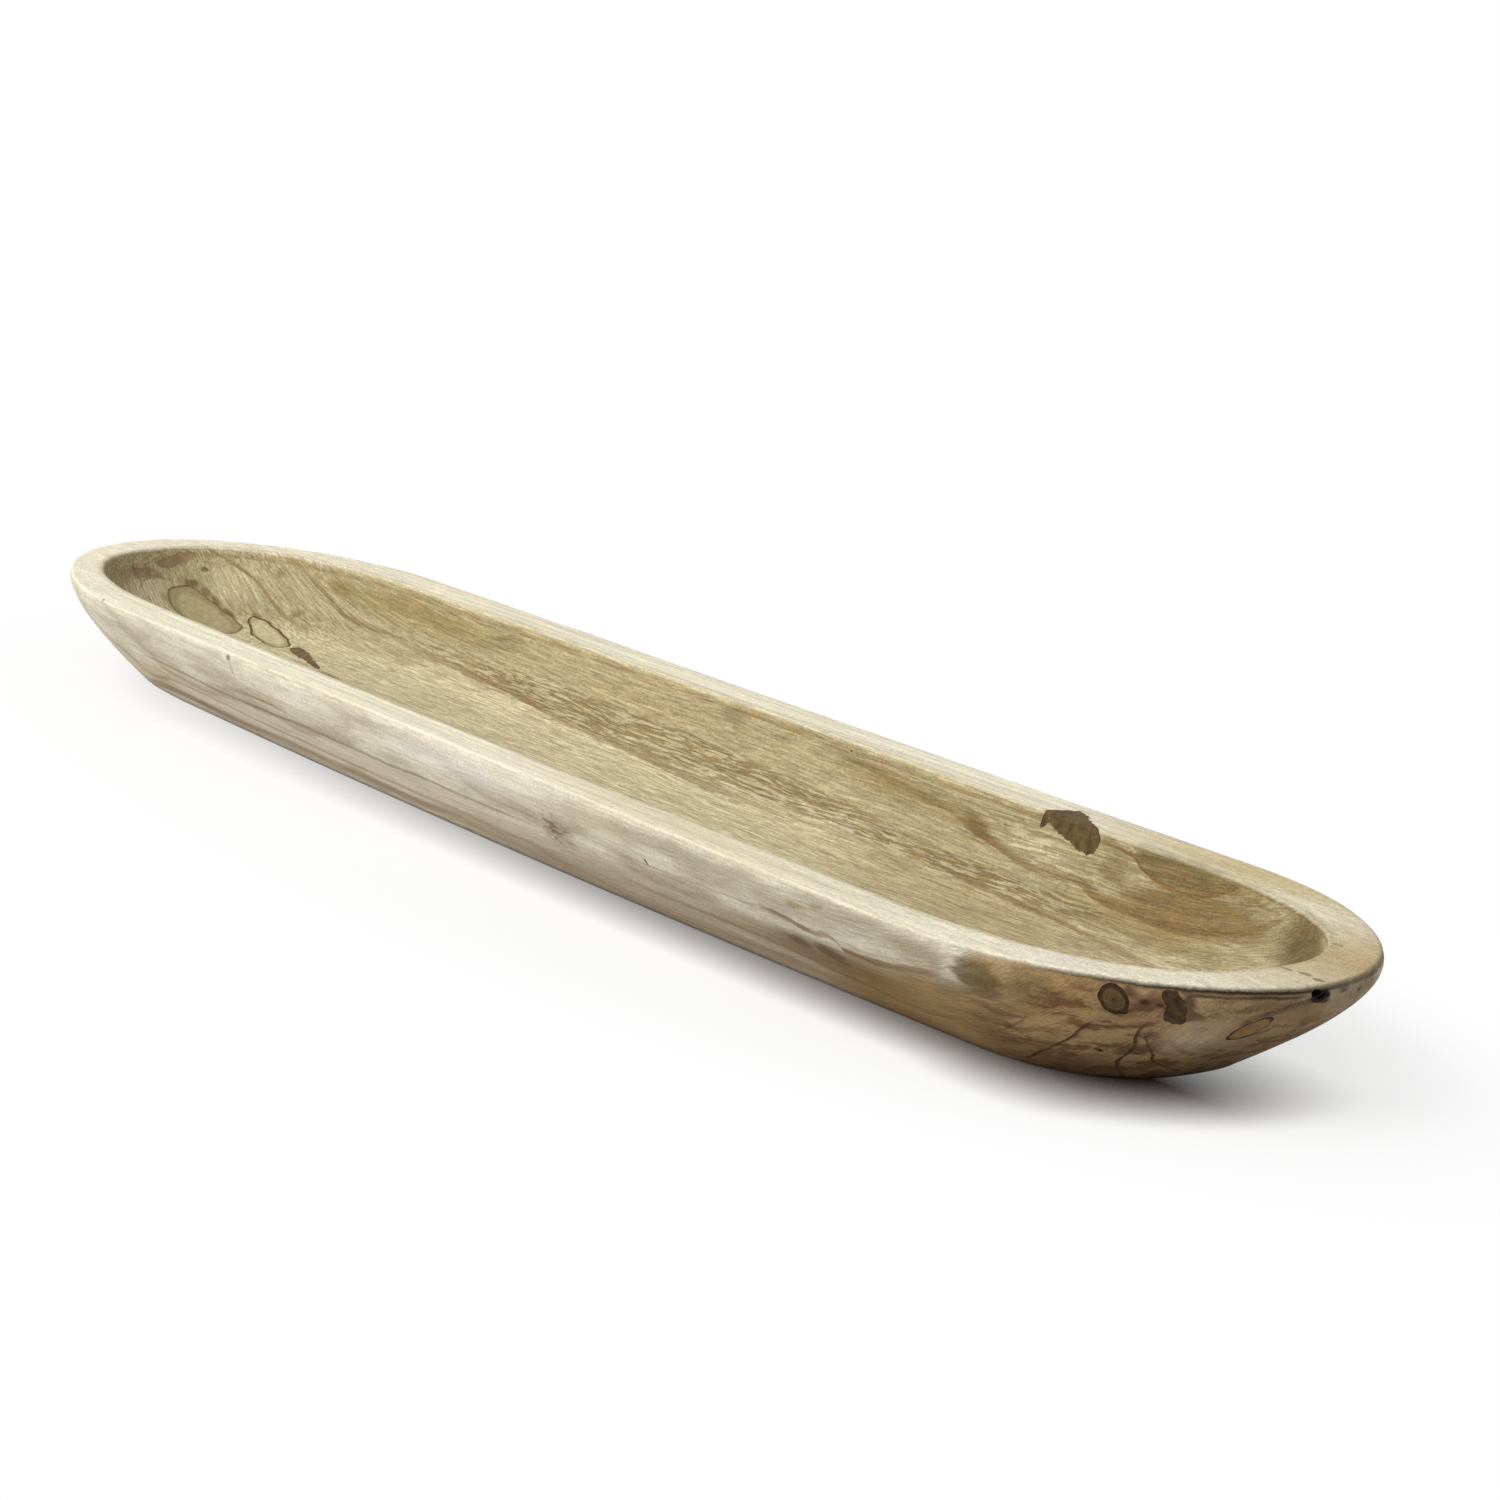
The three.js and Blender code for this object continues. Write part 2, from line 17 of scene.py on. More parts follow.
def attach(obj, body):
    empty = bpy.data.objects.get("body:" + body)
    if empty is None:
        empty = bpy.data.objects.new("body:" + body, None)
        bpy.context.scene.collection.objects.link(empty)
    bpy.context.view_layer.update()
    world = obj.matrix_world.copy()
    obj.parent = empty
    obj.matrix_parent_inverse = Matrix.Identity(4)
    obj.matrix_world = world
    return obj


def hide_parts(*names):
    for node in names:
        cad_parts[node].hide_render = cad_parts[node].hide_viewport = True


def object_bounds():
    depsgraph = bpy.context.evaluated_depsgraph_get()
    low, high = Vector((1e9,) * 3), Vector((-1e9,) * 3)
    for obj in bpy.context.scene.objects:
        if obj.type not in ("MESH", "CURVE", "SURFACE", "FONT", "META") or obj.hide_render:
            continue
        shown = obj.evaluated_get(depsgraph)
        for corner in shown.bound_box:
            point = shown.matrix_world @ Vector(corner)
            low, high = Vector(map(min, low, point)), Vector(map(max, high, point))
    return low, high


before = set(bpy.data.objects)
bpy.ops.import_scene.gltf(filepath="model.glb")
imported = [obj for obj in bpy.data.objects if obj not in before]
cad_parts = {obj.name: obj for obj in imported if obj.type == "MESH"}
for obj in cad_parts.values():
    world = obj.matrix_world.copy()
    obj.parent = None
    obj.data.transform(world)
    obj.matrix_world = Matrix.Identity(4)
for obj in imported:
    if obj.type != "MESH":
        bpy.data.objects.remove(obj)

bl_info = {
    "name": "Carved Wooden Bowl",
    "version": (1, 0, 0),
    "blender": (4, 5, 0),
    "location": "3D View > Sidebar > Bowl",
    "description": "Carves a boat-shaped bowl out of a knotty log, with its knots, bark and putty",
    "category": "Add Mesh",
}

MM = 0.001
CAD_BOX = [list(corner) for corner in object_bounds()]
CAD_SIZE = [high - low for low, high in zip(*CAD_BOX)]

# Plan outlines of the bowl, in millimetres, as the CAD part has them
RIM_ENDS = (138, 120)
RIM_FULLNESS = 1.93
FOOT_SET_IN = (42.5, 59.5, 23.7)
FOOT_ENDS = (91, 56)
FOOT_BOW = 6
FOOT_FULLNESS = 2.45
MOUTH_ENDS = (132, 116)
MOUTH_BOW = 2.7
MOUTH_FULLNESS = 2.42
FLOOR_ENDS = (110, 98)
FLOOR_BOW = 3.6
FLOOR_FULLNESS = 2.4
HOLLOW_SIDE_RUN = 19.8
HOLLOW_END_RUN = 52

# The turn of each wall curve: how far below the rim or above the floor it is, and how far in from the top
LEFT_FLANK_TURN = (5.8, -0.2)
RIGHT_FLANK_TURN = (9.9, -0.9)
SIDE_FLANK_TURN = (12.7, 1.7)
HOLLOW_END_TURN = (3.8, 10.5)
HOLLOW_SIDE_TURN = (5, 2.4)
FOOT_ROUND = 0.9

# Rings of points in each part of the bowl's section, from the middle of the foot to the middle of the floor
FOOT_RINGS = 10
FOOT_EDGE_RINGS = 3
FLANK_RINGS = 34
EDGE_RINGS = 5
RIM_RINGS = 6
WALL_RINGS = 46
DISH_RINGS = 26

# Hand carving leaves broad and small lumps, of these sizes in millimetres along the bowl, across it and up.
# Small ones stand out less, their pattern is shifted from the broad one, and the rim's flat top is evener
BROAD_LUMPS = (85, 30, 22)
SMALL_LUMPS = (26, 11, 11)
SMALL_SHIFT = 7
SMALL_SHARE = 0.35
RIM_SHARE = 0.35
RIM_ABOVE = 30
RIM_FLATNESS = 0.95

# Insets: the seam round each one, the thickness of bark and how far its top is arched, and the rounding of
# an edge, with how far in and how far down each ring of it lies as shares of that rounding
SEAT_GAP = 0.06
BARK_THICKNESS = 0.9
BARK_ARCH = 0.25
INSET_ROUND = 0.06
INSET_EDGE = ((1, 0), (0.3, 0.3), (0, 1))

# Points round each inset, rings in its top, steps across a layer of bark, and how far above the wood a
# pocket's cutter reaches and a line that looks for the surface starts
INSET_SEGMENTS = 144
TOP_RINGS = 26
BARK_STEPS = 6
OVERCUT = 6
CAST_FROM = 40

# The photograph's view of the bowl
VIEW_AZIMUTH = 61.57
VIEW_ELEVATION = 11.504
VIEW_DISTANCE = 1.8211
VIEW_TARGET = (-0.0959, 0.1036, 0.0)
LENS = 126.3
SENSOR = 36.0

# The soft box stands so far in metres to the photograph's right, up, and towards the camera
SOFT_BOX_PLACE = (-1.4, 1.15, 0.3)

# The least share of plain white in the floor's shadow, and the oval beyond which the floor is all white
SHADOW_LIFT = 0.7
SHADOW_SHAPE = (0.8, 3.0, 1.0)
SHADOW_FROM = 270
SHADOW_TO = 420

# The floor darkens close to the wood: how far that reaches, in metres, and how much light still comes in
# from the left end and from behind. Each has its axis, the places it changes between, and its two values
CONTACT_REACH = ("X", 290, 350, 0.017, 0.027)
CONTACT_LIT_LEFT = ("X", -340, 340, 1.0, 0.0)
CONTACT_LIT_BEHIND = ("Y", 34, -11, 1.0, 0.0)

# How open the floor is to the sky where its contact shadow is deepest, and where it has none
CONTACT_SKY = (0.15, 0.9)

# The brown of the contact shadow, and the grey that the floor's light has on the wood
CONTACT_BROWN = "5a4034"
BOUNCE_GREY = "b4b4b2"
WHITE = (1, 1, 1, 1)

# Sockets of the Mix node that blend colours
SHARE = 0
UNDER = 6
OVER = 7


class Outline(NamedTuple):
    """A long oval in plan: its reach to both tips, its half width, and how its ends close."""
    left: float
    right: float
    half_width: float
    bow: float
    left_end: float
    right_end: float
    fullness: float


class Wall(NamedTuple):
    """A wall between two outlines, with the rise and lean of its curve at the ends and sides."""
    bottom: Outline
    top: Outline
    low: float
    high: float
    left: tuple
    right: tuple
    side: tuple


class Seat(NamedTuple):
    """Where an inset sits: its place in the wood's frame, its outline, and how deep it goes."""
    place: Matrix
    outline: list
    depth: float


def linear(code):
    """The linear colour, with alpha, of an sRGB hex code."""
    channels = [int(code[i:i + 2], 16) / 255 for i in (0, 2, 4)]
    curved = [c / 12.92 if c <= 0.04045 else ((c + 0.055) / 1.055) ** 2.4 for c in channels]
    return (*curved, 1.0)


def widened(outline, by):
    """An outline moved outwards all round."""
    return outline._replace(
        left=outline.left + by,
        right=outline.right + by,
        half_width=outline.half_width + by,
    )


def drawn_in(outline, share):
    """An outline drawn in towards its middle."""
    return Outline(*[size * share for size in outline[:-1]], outline.fullness)


def between(first, second, share):
    """The outline that lies a share of the way from one to another."""
    return Outline(*[a + (b - a) * share for a, b in zip(first, second)])


def half_width_at(outline, x):
    """Half the width of an outline at a distance along it."""
    tip = outline.left if x < 0 else outline.right
    end = outline.left_end if x < 0 else outline.right_end
    into = min(1.0, max(0.0, abs(x) - (tip - end)) / end)
    cap = (1 - into ** outline.fullness) ** (1 / outline.fullness)
    return (outline.half_width - outline.bow * (x / tip) ** 2) * cap


def reach(share, rise, lean):
    """How far a wall has come from its bottom outline to its top one, at a share of its rise."""
    bend = 1 - 2 * rise
    along = (sqrt(rise * rise + bend * share) - rise) / bend
    back = 1 - along
    return 1 - back * back - 2 * along * back * lean


def wall_outline(wall, height):
    """The outline of a wall at a height."""
    rise = wall.high - wall.low
    share = min(1.0, (height - wall.low) / rise)

    def grown(size, curve):
        bottom = getattr(wall.bottom, size)
        run = getattr(wall.top, size) - bottom
        return bottom + run * reach(share, curve[0] / rise, curve[1] / run)

    return between(wall.bottom, wall.top, share)._replace(
        left=grown("left", wall.left),
        right=grown("right", wall.right),
        half_width=grown("half_width", wall.side),
    )


def bowl_walls(sizes):
    """The flank and the hollow of the bowl, as walls in millimetres."""
    half_length = sizes.length / MM / 2
    height = sizes.height / MM
    edge = height - sizes.edge_round / MM
    floor_edge = (sizes.floor_thickness + sizes.floor_dish) / MM
    side_wall = sizes.rim_side_wall / MM
    end_wall = sizes.rim_end_wall / MM
    rim = Outline(half_length, half_length, sizes.width / MM / 2, 0, *RIM_ENDS, RIM_FULLNESS)
    left_in, right_in, side_in = FOOT_SET_IN
    foot = Outline(
        rim.left - left_in,
        rim.right - right_in,
        rim.half_width - side_in,
        FOOT_BOW,
        *FOOT_ENDS,
        FOOT_FULLNESS,
    )
    mouth = Outline(
        rim.left - end_wall,
        rim.right - end_wall,
        rim.half_width - side_wall,
        MOUTH_BOW,
        *MOUTH_ENDS,
        MOUTH_FULLNESS,
    )
    floor = Outline(
        mouth.left - HOLLOW_END_RUN,
        mouth.right - HOLLOW_END_RUN,
        mouth.half_width - HOLLOW_SIDE_RUN,
        FLOOR_BOW,
        *FLOOR_ENDS,
        FLOOR_FULLNESS,
    )
    turns = (LEFT_FLANK_TURN, RIGHT_FLANK_TURN, SIDE_FLANK_TURN)
    turns = [(height - below, lean) for below, lean in turns]
    flank = Wall(foot, rim, 0.0, edge, *turns)
    hollow = Wall(floor, mouth, floor_edge, edge, HOLLOW_END_TURN, HOLLOW_END_TURN, HOLLOW_SIDE_TURN)
    return flank, hollow


def section(sizes):
    """Each ring's outline, height and share of hollow, from the middle of the foot to that of the floor."""
    flank, hollow = bowl_walls(sizes)
    rounding = sizes.edge_round / MM
    height = sizes.height / MM
    rings = [(drawn_in(flank.bottom, i / FOOT_RINGS), 0.0, 0) for i in range(1, FOOT_RINGS)]
    for i in range(FOOT_EDGE_RINGS):
        share = i / FOOT_EDGE_RINGS
        outline = widened(flank.bottom, -FOOT_ROUND * (1 - share) ** 2)
        rings.append((outline, FOOT_ROUND * share ** 2, 0))
    for i in range(FLANK_RINGS + 1):
        level = FOOT_ROUND + (flank.high - FOOT_ROUND) * i / FLANK_RINGS
        rings.append((wall_outline(flank, level), level, 0))
    turns = [(i / EDGE_RINGS) * pi / 2 for i in range(1, EDGE_RINGS + 1)]
    for turn in turns:
        outline = widened(flank.top, -rounding * (1 - cos(turn)))
        rings.append((outline, flank.high + rounding * sin(turn), 0))
    outer = rings[-1][0]
    inner = widened(hollow.top, rounding)
    for i in range(1, RIM_RINGS):
        rings.append((between(outer, inner, i / RIM_RINGS), height, 0))
    for turn in reversed(turns):
        outline = widened(hollow.top, rounding * (1 - cos(turn)))
        rings.append((outline, hollow.high + rounding * sin(turn), 0.5))
    rise = hollow.side[0] / (hollow.high - hollow.low)
    for i in range(WALL_RINGS, -1, -1):
        along = i / WALL_RINGS
        share = 2 * along * (1 - along) * rise + along * along
        level = hollow.low + (hollow.high - hollow.low) * share
        rings.append((wall_outline(hollow, level), level, 1))
    dish = sizes.floor_dish / MM
    for i in range(DISH_RINGS - 1, 0, -1):
        share = i / DISH_RINGS
        rings.append((drawn_in(hollow.bottom, share), hollow.low - dish * (1 - share * share), 1))
    return rings


def stacked_rings(bm, segments, count):
    """A plain tube of rings, one unit apart, whose points are then moved to their places."""
    bmesh.ops.create_circle(bm, segments=segments, radius=1.0)
    edges = bm.edges[:]
    for _ in range(count - 1):
        made = bmesh.ops.extrude_edge_only(bm, edges=edges)["geom"]
        edges = [item for item in made if isinstance(item, bmesh.types.BMEdge)]
        risen = [item for item in made if isinstance(item, bmesh.types.BMVert)]
        bmesh.ops.translate(bm, verts=risen, vec=(0, 0, 1))


def turn_and_ring(point, segments):
    """Which point of its ring, and which ring of a plain tube, a point is."""
    index = round(atan2(point.co.y, point.co.x) / tau * segments) % segments
    return index, round(point.co.z)


def close_ends(bm):
    """Closes the open ends of a tube, each with a fan of faces round its middle."""
    loose = [edge for edge in bm.edges if edge.is_boundary]
    caps = bmesh.ops.holes_fill(bm, edges=loose, sides=0)["faces"]
    bmesh.ops.poke(bm, faces=caps)


def finished(bm, name, material, sharp=40):
    """An object of the mesh, in metres, smooth but for its sharp edges."""
    bmesh.ops.scale(bm, verts=bm.verts, vec=(MM, MM, MM))
    bmesh.ops.recalc_face_normals(bm, faces=bm.faces)
    mesh = bpy.data.meshes.new(name)
    bm.to_mesh(mesh)
    bm.free()
    mesh.shade_smooth()
    mesh.set_sharp_from_angle(angle=radians(sharp))
    mesh.materials.append(material)
    piece = bpy.data.objects.new(name, mesh)
    bpy.context.scene.collection.objects.link(piece)
    return piece


def lumps(spot, size, shift=0):
    """A noise between -1 and 1 at a spot, in lumps of a size along each axis."""
    x, y, z = [place / length for place, length in zip(spot, size)]
    return noise.noise(Vector((x + shift, y, z)))


def carve_unevenly(bm, sizes):
    """Moves the surface in and out a little, as an adze and hand sanding leave it."""
    bm.normal_update()
    uneven = sizes.unevenness / MM
    for point in bm.verts:
        if point.co.z < FOOT_ROUND:
            continue
        broad = lumps(point.co, BROAD_LUMPS)
        small = lumps(point.co, SMALL_LUMPS, SMALL_SHIFT)
        flat = point.normal.z > RIM_FLATNESS and point.co.z > RIM_ABOVE
        share = RIM_SHARE if flat else 1.0
        point.co += point.normal * uneven * share * (broad + SMALL_SHARE * small)


def carved_bowl_mesh(sizes):
    """The bowl in one piece, before its pockets are cut, in millimetres."""
    rings = section(sizes)
    segments = sizes.around
    bm = bmesh.new()
    stacked_rings(bm, segments, len(rings))
    hollow = bm.verts.layers.float.new("in_hollow")
    for point in bm.verts:
        index, ring = turn_and_ring(point, segments)
        outline, height, share = rings[ring]
        angle = index / segments * tau
        x = cos(angle) * (outline.left if cos(angle) < 0 else outline.right)
        side = 0.0 if index in (0, segments // 2) else copysign(1.0, sin(angle))
        point.co = (x, side * half_width_at(outline, x), height)
        point[hollow] = share
    close_ends(bm)
    bmesh.ops.recalc_face_normals(bm, faces=bm.faces)
    carve_unevenly(bm, sizes)
    return bm


def through(corners, segments):
    """A smooth closed outline through corners, as evenly spaced points."""
    steps = 40
    path = []
    count = len(corners)
    for i in range(count):
        before, start, end, after = [Vector(corners[(i + k) % count]) for k in (-1, 0, 1, 2)]
        for step in range(steps):
            t = step / steps
            path.append(0.5 * (
                2 * start
                + (end - before) * t
                + (2 * before - 5 * start + 4 * end - after) * t ** 2
                + (3 * start - before - 3 * end + after) * t ** 3
            ))
    lengths = [(path[(i + 1) % len(path)] - path[i]).length for i in range(len(path))]
    spacing = sum(lengths) / segments
    points = []
    gone = 0.0
    for spot, length in zip(path, lengths):
        if gone >= spacing * len(points) and len(points) < segments:
            points.append(spot)
        gone += length
    while len(points) < segments:
        points.append((points[-1] + points[0]) / 2)
    return points


def oval(half_length, half_width):
    """An oval outline."""
    turns = [i / INSET_SEGMENTS * tau for i in range(INSET_SEGMENTS)]
    return [Vector((half_length * cos(turn), half_width * sin(turn))) for turn in turns]


def scaled_outline(corners, length, width):
    """A smooth outline through corners given as shares of a length and a width."""
    return through([(length * along, width * across) for along, across in corners], INSET_SEGMENTS)


def grown(outline, by):
    """An outline moved outwards by a gap or a layer."""
    moved = []
    for i, spot in enumerate(outline):
        step = outline[(i + 1) % len(outline)] - outline[i - 1]
        moved.append(spot + Vector((step.y, -step.x)).normalized() * by)
    return moved


def ragged(outline, size, depth):
    """An outline whose edge strays in and out by a depth, in lumps of a size."""
    strays = [depth * noise.noise(Vector((spot.x / size, spot.y / size, depth))) for spot in outline]
    return [spot + (out - spot) * stray for spot, out, stray in zip(outline, grown(outline, 1.0), strays)]


def seat_place(spot, out, turn):
    """The frame of an inset: its middle, its long way turned round the way out of the wood."""
    along = (Vector((1, 0, 0)) - out * out.x).normalized()
    along.rotate(Matrix.Rotation(radians(turn), 3, out))
    frame_of_seat = Matrix((along, out.cross(along), out)).transposed().to_4x4()
    frame_of_seat.translation = spot
    return frame_of_seat


def cast(surface, start, way):
    """The place and normal that a line meets on the wood."""
    spot, normal, _, _ = surface.ray_cast(Vector(start), Vector(way))
    if spot is None:
        raise RuntimeError(f"a line from {start} along {way} misses the wood")
    return spot, normal


def in_hollow(surface, x, y, turn=0):
    """A seat in the hollow, over a point of the plan."""
    return seat_place(*cast(surface, (x, y, 2 * CAST_FROM), (0, 0, -1)), turn)


def on_left_wall(surface, y, z, turn=0):
    """A seat on the left end wall of the hollow, off the centre line and at a height."""
    return seat_place(*cast(surface, (-4 * CAST_FROM, y, z), (-1, 0, 0)), turn)


def on_front(surface, x, z, turn=0, level=True):
    """A seat on the outside of the front flank, a distance along and at a height."""
    spot, out = cast(surface, (x, -3 * CAST_FROM, z), (0, 1, 0))
    if level:
        out = Vector((out.x, out.y, 0)).normalized()
    return seat_place(spot, out, turn)


def on_surface(surface, seat, spot, lift=0.0):
    """The point of the wood's surface over a spot of a seat, lifted off it."""
    out = seat.place.col[2].to_3d()
    start = seat.place @ Vector((spot.x, spot.y, CAST_FROM / 2))
    found, _ = cast(surface, start, -out)
    return found + out * lift


def plug(surface, seat, relief):
    """An inset piece: its top follows the wood's surface, and its straight sides go down to its depth."""
    segments = len(seat.outline)
    steps = [(INSET_ROUND * inwards, INSET_ROUND * down) for inwards, down in INSET_EDGE]
    edge = [(grown(seat.outline, -inwards), down) for inwards, down in steps]
    inner = edge[0][0]
    last_edge = TOP_RINGS + len(edge)
    bm = bmesh.new()
    stacked_rings(bm, segments, last_edge + 2)
    for point in bm.verts:
        index, ring = turn_and_ring(point, segments)
        if ring < TOP_RINGS:
            spot = inner[index] * ((ring + 0.5) / TOP_RINGS)
            point.co = on_surface(surface, seat, spot, relief(spot))
        elif ring < last_edge:
            outline, drop = edge[ring - TOP_RINGS]
            point.co = on_surface(surface, seat, outline[index], relief(inner[index]) - drop)
        else:
            spot = seat.outline[index] * (1 if ring == last_edge else 0.5)
            point.co = seat.place @ Vector((spot.x, spot.y, -seat.depth))
    close_ends(bm)
    return bm


def sleeve(surface, seat, relief):
    """A layer of bark round a knot: a closed band whose top is crumbled."""
    segments = len(seat.outline)
    bm = bmesh.new()
    stacked_rings(bm, segments, BARK_STEPS + 3)
    layers = [SEAT_GAP / 2 + BARK_THICKNESS * i / BARK_STEPS for i in range(BARK_STEPS + 1)]
    bands = [grown(seat.outline, layer) for layer in layers]
    for point in bm.verts:
        index, ring = turn_and_ring(point, segments)
        if ring <= BARK_STEPS:
            spot = bands[ring][index]
            fall = BARK_ARCH * abs(ring / BARK_STEPS - 0.5)
            point.co = on_surface(surface, seat, spot, relief(spot) - fall)
        else:
            spot = bands[-1 if ring == BARK_STEPS + 1 else 0][index]
            point.co = seat.place @ Vector((spot.x, spot.y, -seat.depth))
    bmesh.ops.bridge_loops(bm, edges=[edge for edge in bm.edges if edge.is_boundary])
    return bm


def pocket(bm, seat, gap):
    """Adds the straight block that clears the room for an inset."""
    segments = len(seat.outline)
    room = grown(seat.outline, gap)
    block = bmesh.new()
    stacked_rings(block, segments, 2)
    for point in block.verts:
        index, ring = turn_and_ring(point, segments)
        level = -seat.depth - SEAT_GAP if ring == 0 else OVERCUT
        point.co = seat.place @ Vector((room[index].x, room[index].y, level))
    close_ends(block)
    add_mesh(bm, block)


def pit(bm, spot, size, turn=(0, 0, 0)):
    """Adds a small egg that cuts a pit, pore or chip out of the wood."""
    egg = bmesh.new()
    bmesh.ops.create_icosphere(egg, subdivisions=2, radius=1.0)
    bmesh.ops.scale(egg, verts=egg.verts, vec=size)
    for axis, angle in zip("XYZ", turn):
        bmesh.ops.rotate(egg, verts=egg.verts, matrix=Matrix.Rotation(radians(angle), 3, axis))
    bmesh.ops.translate(egg, verts=egg.verts, vec=spot)
    add_mesh(bm, egg)


def add_mesh(bm, other):
    """Moves one mesh into another."""
    bmesh.ops.recalc_face_normals(other, faces=other.faces)
    carrier = bpy.data.meshes.new("carrier")
    other.to_mesh(carrier)
    other.free()
    bm.from_mesh(carrier)
    bpy.data.meshes.remove(carrier)


def mark_hollow(piece, points):
    """Says after a cut which points lie in the hollow, by the nearest point of the surface before it."""
    tree = KDTree(len(points))
    for index, (spot, _) in enumerate(points):
        tree.insert(spot, index)
    tree.balance()
    marks = piece.data.attributes["in_hollow"].data
    for point, mark in zip(piece.data.vertices, marks):
        _, index, _ = tree.find(point.co / MM)
        mark.value = points[index][1]


def cut(piece, cutters, sharp=40):
    """Cuts the space of some closed meshes out of a piece."""
    tool = finished(cutters, "cutter", piece.data.materials[0])
    modifier = piece.modifiers.new("Cut", "BOOLEAN")
    modifier.operation = "DIFFERENCE"
    modifier.solver = "MANIFOLD"
    modifier.object = tool
    shaped = piece.evaluated_get(bpy.context.evaluated_depsgraph_get())
    mesh = bpy.data.meshes.new_from_object(shaped)
    piece.modifiers.clear()
    old = piece.data
    piece.data = mesh
    mesh.name = piece.name
    mesh.set_sharp_from_angle(angle=radians(sharp))
    bpy.data.meshes.remove(old)
    bpy.data.objects.remove(tool)


# The outlines of the insets, as shares of their length and width
EGG = [
    (0.5, 0), (0.425, 0.36), (0.2, 0.5), (-0.175, 0.5), (-0.425, 0.39),
    (-0.5, 0.05), (-0.425, -0.34), (-0.15, -0.5), (0.2, -0.46), (0.41, -0.3),
]
DROP = [
    (-0.5, 0), (-0.225, -0.42), (0.175, -0.5), (0.46, -0.3),
    (0.5, 0), (0.46, 0.3), (0.175, 0.5), (-0.225, 0.42),
]
KIDNEY = [
    (0.5, 0), (0.3, 0.4), (-0.15, 0.5), (-0.42, 0.3),
    (-0.28, 0), (-0.5, -0.3), (-0.2, -0.5), (0.32, -0.38),
]
PATCH = [
    (0.5, 0.06), (0.24, 0.46), (-0.14, 0.34), (-0.5, 0.16), (-0.34, -0.42), (0.1, -0.5), (0.4, -0.3),
]
TAIL = [
    (0.5, -0.1), (0.28, 0.16), (0.02, 0.3), (-0.2, 0.5), (-0.42, 0.4),
    (-0.5, 0), (-0.44, -0.42), (-0.22, -0.5), (0.04, -0.34), (0.3, -0.3),
]


# Faults in the wood: where each one is, its half sizes and its turns about the three axes
PITS = [
    ((399.0, -1.0, 35.9), (5, 1.5, 1.25), (0, 20, 0)),
    ((397.4, 2.9, 33.3), (5, 1.4, 1.3), (0, 25, 10)),
    ((399.0, 1.0, 34.6), (4, 1.5, 0.7), (35, 20, 0)),
    ((71.5, 49.4, 34.9), (0.5, 1.6, 0.5), (0, 0, 0)),
    ((136.2, -56.7, 23.3), (0.35, 1.2, 2.2), (0, 25, 0)),
    ((-163.2, -61.6, 36.6), (0.8, 0.8, 0.8), (0, 0, 0)),
    ((-164.0, -61.2, 35.0), (0.4, 0.8, 1.3), (0, 15, 0)),
    ((-281.0, -60.6, 37.8), (1.6, 0.8, 0.6), (0, 0, 0)),
    ((-266.0, -60.9, 37.0), (0.4, 0.9, 1.0), (0, 10, 0)),
    ((-129.7, -62.1, 37.9), (1.2, 0.7, 0.6), (0, 0, 0)),
    ((347.3, -33.2, 12.7), (1.4, 1.2, 0.6), (0, -25, 30)),
    ((24.0, -49.4, 38.4), (9, 1.0, 0.9), (0, 0, 2)),
]

# The two patches on the left end wall: how far off the middle and how high each is, how long, how ragged
END_PATCHES = [("end_patch_low", -8.6, 30, 9.4, 0.8), ("end_patch_high", 5.4, 33.4, 15.5, 0.9)]

# Settings that every node of a kind has here, and the setting that eases a range in and out
ALWAYS = {"ShaderNodeMix": {"data_type": "RGBA"}}
SMOOTH = {"interpolation_type": "SMOOTHSTEP"}


def add(tree, kind, inputs=None, curve=(), **settings):
    """Adds a shader node, sets it and its curve, and fills its inputs. Gives its first live output."""
    node = tree.nodes.new(kind)
    for name, value in {**ALWAYS.get(kind, {}), **settings}.items():
        setattr(node, name, value)
    if curve:
        bend = node.mapping.curves[0].points
        bend[0].location, bend[1].location = curve[0], curve[-1]
        for spot in curve[1:-1]:
            bend.new(*spot)
        for point in bend:
            point.handle_type = "AUTO_CLAMPED"
        node.mapping.update()
    for name, value in (inputs or {}).items():
        if isinstance(value, bpy.types.NodeSocket):
            tree.links.new(value, node.inputs[name])
        else:
            node.inputs[name].default_value = value
    return next((output for output in node.outputs if output.enabled), node)


def bare_material(name):
    """An empty material with its tree, and the object's own coordinates in millimetres."""
    material = bpy.data.materials.new(name)
    material.use_nodes = True
    tree = material.node_tree
    tree.nodes.clear()
    place = add(tree, "ShaderNodeTexCoord").node.outputs["Object"]
    place = add(tree, "ShaderNodeVectorMath", {0: place, "Scale": 1 / MM}, operation="SCALE")
    return material, tree, place


def grain(tree, place, size, detail=3.0, roughness=0.55):
    """A noise whose grains measure so many millimetres along each axis."""
    fitted = add(tree, "ShaderNodeMapping", {"Vector": place, "Scale": [1 / length for length in size]})
    return add(
        tree,
        "ShaderNodeTexNoise",
        {"Vector": fitted, "Scale": 1.0, "Detail": detail, "Roughness": roughness},
    )


def strayed(tree, place, size, reach, detail=2.0):
    """Each point, moved by a noise by up to about half of its reach along each axis, in millimetres."""
    wander = grain(tree, place, size, detail).node.outputs["Color"]
    wander = add(tree, "ShaderNodeVectorMath", {0: wander, 1: (0.5, 0.5, 0.5)}, operation="SUBTRACT")
    return add(tree, "ShaderNodeVectorMath", {0: wander, 1: reach, 2: place}, operation="MULTIPLY_ADD")


